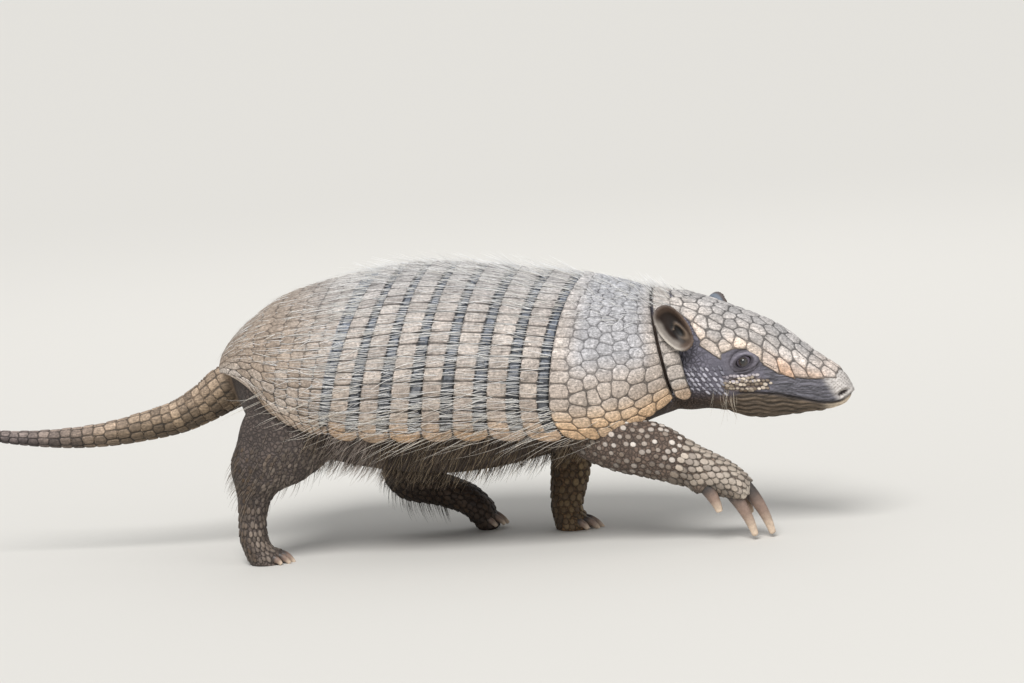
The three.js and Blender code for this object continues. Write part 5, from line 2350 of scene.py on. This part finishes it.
class Studio:
    """A plain pale floor, soft light from above and the camera on the animal's right."""

    AZIMUTH = math.radians(6)
    ELEVATION = math.radians(8)
    ROLL = math.radians(4)
    TARGET = (201.7, 0.0, 138.0)
    LENS = 200.0
    SENSOR = 36.0
    PICTURE_WIDTH = 1024
    PIXELS_PER_MM = 1.45
    DISTANCE = LENS / SENSOR * PICTURE_WIDTH / PIXELS_PER_MM
    AIM = (200.0, 0.0, 110.0)

    def directions(self) -> tuple[np.ndarray, np.ndarray, np.ndarray]:
        """The camera's right, its up and the way back from the animal to it."""
        az, el = self.AZIMUTH, self.ELEVATION
        back = np.array([math.sin(az) * math.cos(el), -math.cos(az) * math.cos(el), math.sin(el)])
        right = np.array([math.cos(az), math.sin(az), 0])
        up = np.cross(right, -back)
        c, s = math.cos(self.ROLL), math.sin(self.ROLL)
        return right * c - up * s, right * s + up * c, back

    def camera(self) -> None:
        """Sets the camera up."""
        right, up, back = self.directions()
        data = bpy.data.cameras.new("camera")
        data.lens, data.sensor_width = self.LENS, self.SENSOR
        data.clip_start, data.clip_end = 0.1, 50
        made = placed("camera", data)
        turn = Matrix([right, up, back]).transposed().to_4x4()
        spot = Place.row(np.array(self.TARGET) + back * self.DISTANCE)
        made.matrix_world = Matrix.Translation(Vector(spot)) @ turn
        bpy.context.scene.camera = made

    def light(
        self, name: str, lamp: Lamp, spot: tuple[float, float, float], spread: float, power: float
    ) -> None:
        """Adds a soft light that faces the animal.

        Args:
            name: Its name.
            lamp: Its kind.
            spot: Its place in the animal's millimetres.
            spread: A panel's side in metres, or the width in radians of a light as far off as the sky.
            power: Its power in watts, or in watts for each square metre.
        """
        data = bpy.data.lights.new(name, lamp.value)
        data.energy = power
        if lamp is Lamp.PANEL:
            data.size = spread
        else:
            data.angle = spread
        made = placed(name, data)
        at = Vector(Place.row(np.array(spot)))
        aim = Vector(Place.row(np.array(self.AIM))) - at
        made.matrix_world = Matrix.Translation(at) @ aim.to_track_quat("-Z", "Y").to_matrix().to_4x4()

    def floor(self, finish: bpy.types.Material) -> None:
        """Lays the floor at the lowest point of the feet."""
        bm = bmesh.new()
        bmesh.ops.create_grid(bm, x_segments=1, y_segments=1, size=12)
        level = float(Place.row(np.zeros(3))[2])
        bmesh.ops.translate(bm, verts=bm.verts, vec=(0, 0, level))
        mesh = mesh_of(bm, "floor", outward=False)
        mesh.materials.append(finish)
        placed("floor", mesh)

    def make(self, finish: bpy.types.Material) -> None:
        """Builds the studio."""
        self.camera()
        self.floor(finish)
        self.light("key", Lamp.SKY, (60.0, -1250.0, 1500.0), 0.5, 2.7)
        self.light("fill", Lamp.PANEL, (1300.0, -1100.0, 700.0), 1.2, 2.5)
        self.light("back", Lamp.PANEL, (100.0, 1300.0, 1100.0), 1.2, 2)
        world = bpy.data.worlds.new("studio")
        world.use_nodes = True
        sky = world.node_tree.nodes["Background"]
        sky.inputs["Color"].default_value = (*linear("E8EAEC"), 1)
        sky.inputs["Strength"].default_value = 0.62
        bpy.context.scene.world = world
        bpy.context.scene.view_settings.view_transform = "Standard"


def main() -> None:
    """Builds the animal and its studio."""
    logging.basicConfig(level=logging.INFO, format="%(message)s")
    Place.find()
    horn = DryHorn("dry_horn", 0.72).build()
    Shell().make(horn)
    HeadShield().make(horn)
    hide = Hide("scaly_hide", 0.75).build()
    _, surface = Skin().make(hide)
    ear_skin = Painted("thin_ear_skin", 0.6).build()
    for ear in EARS:
        ear.make(ear_skin)
    wet = WetEye("wet_eye", 0.25).build()
    for eye in (Eye("eye_right", -1), Eye("eye_left", 1)):
        eye.ball(wet)
        eye.lids(hide)
    make_claws(Painted("claw_horn", 0.45, 2.5, 0.2, 0.15).build())
    scale = Painted("small_horny_scales", 0.6, 1.2, 0.2, 0.4).build()
    make_scales(surface, scale)
    TailScutes().make(horn)
    make_hair(surface, Painted("stiff_bristle", 0.5, 3.0, 0.1, 0.0).build())
    Studio().make(PaleFloor("pale_floor", 0.9).build())


if __name__ == "__main__":
    main()
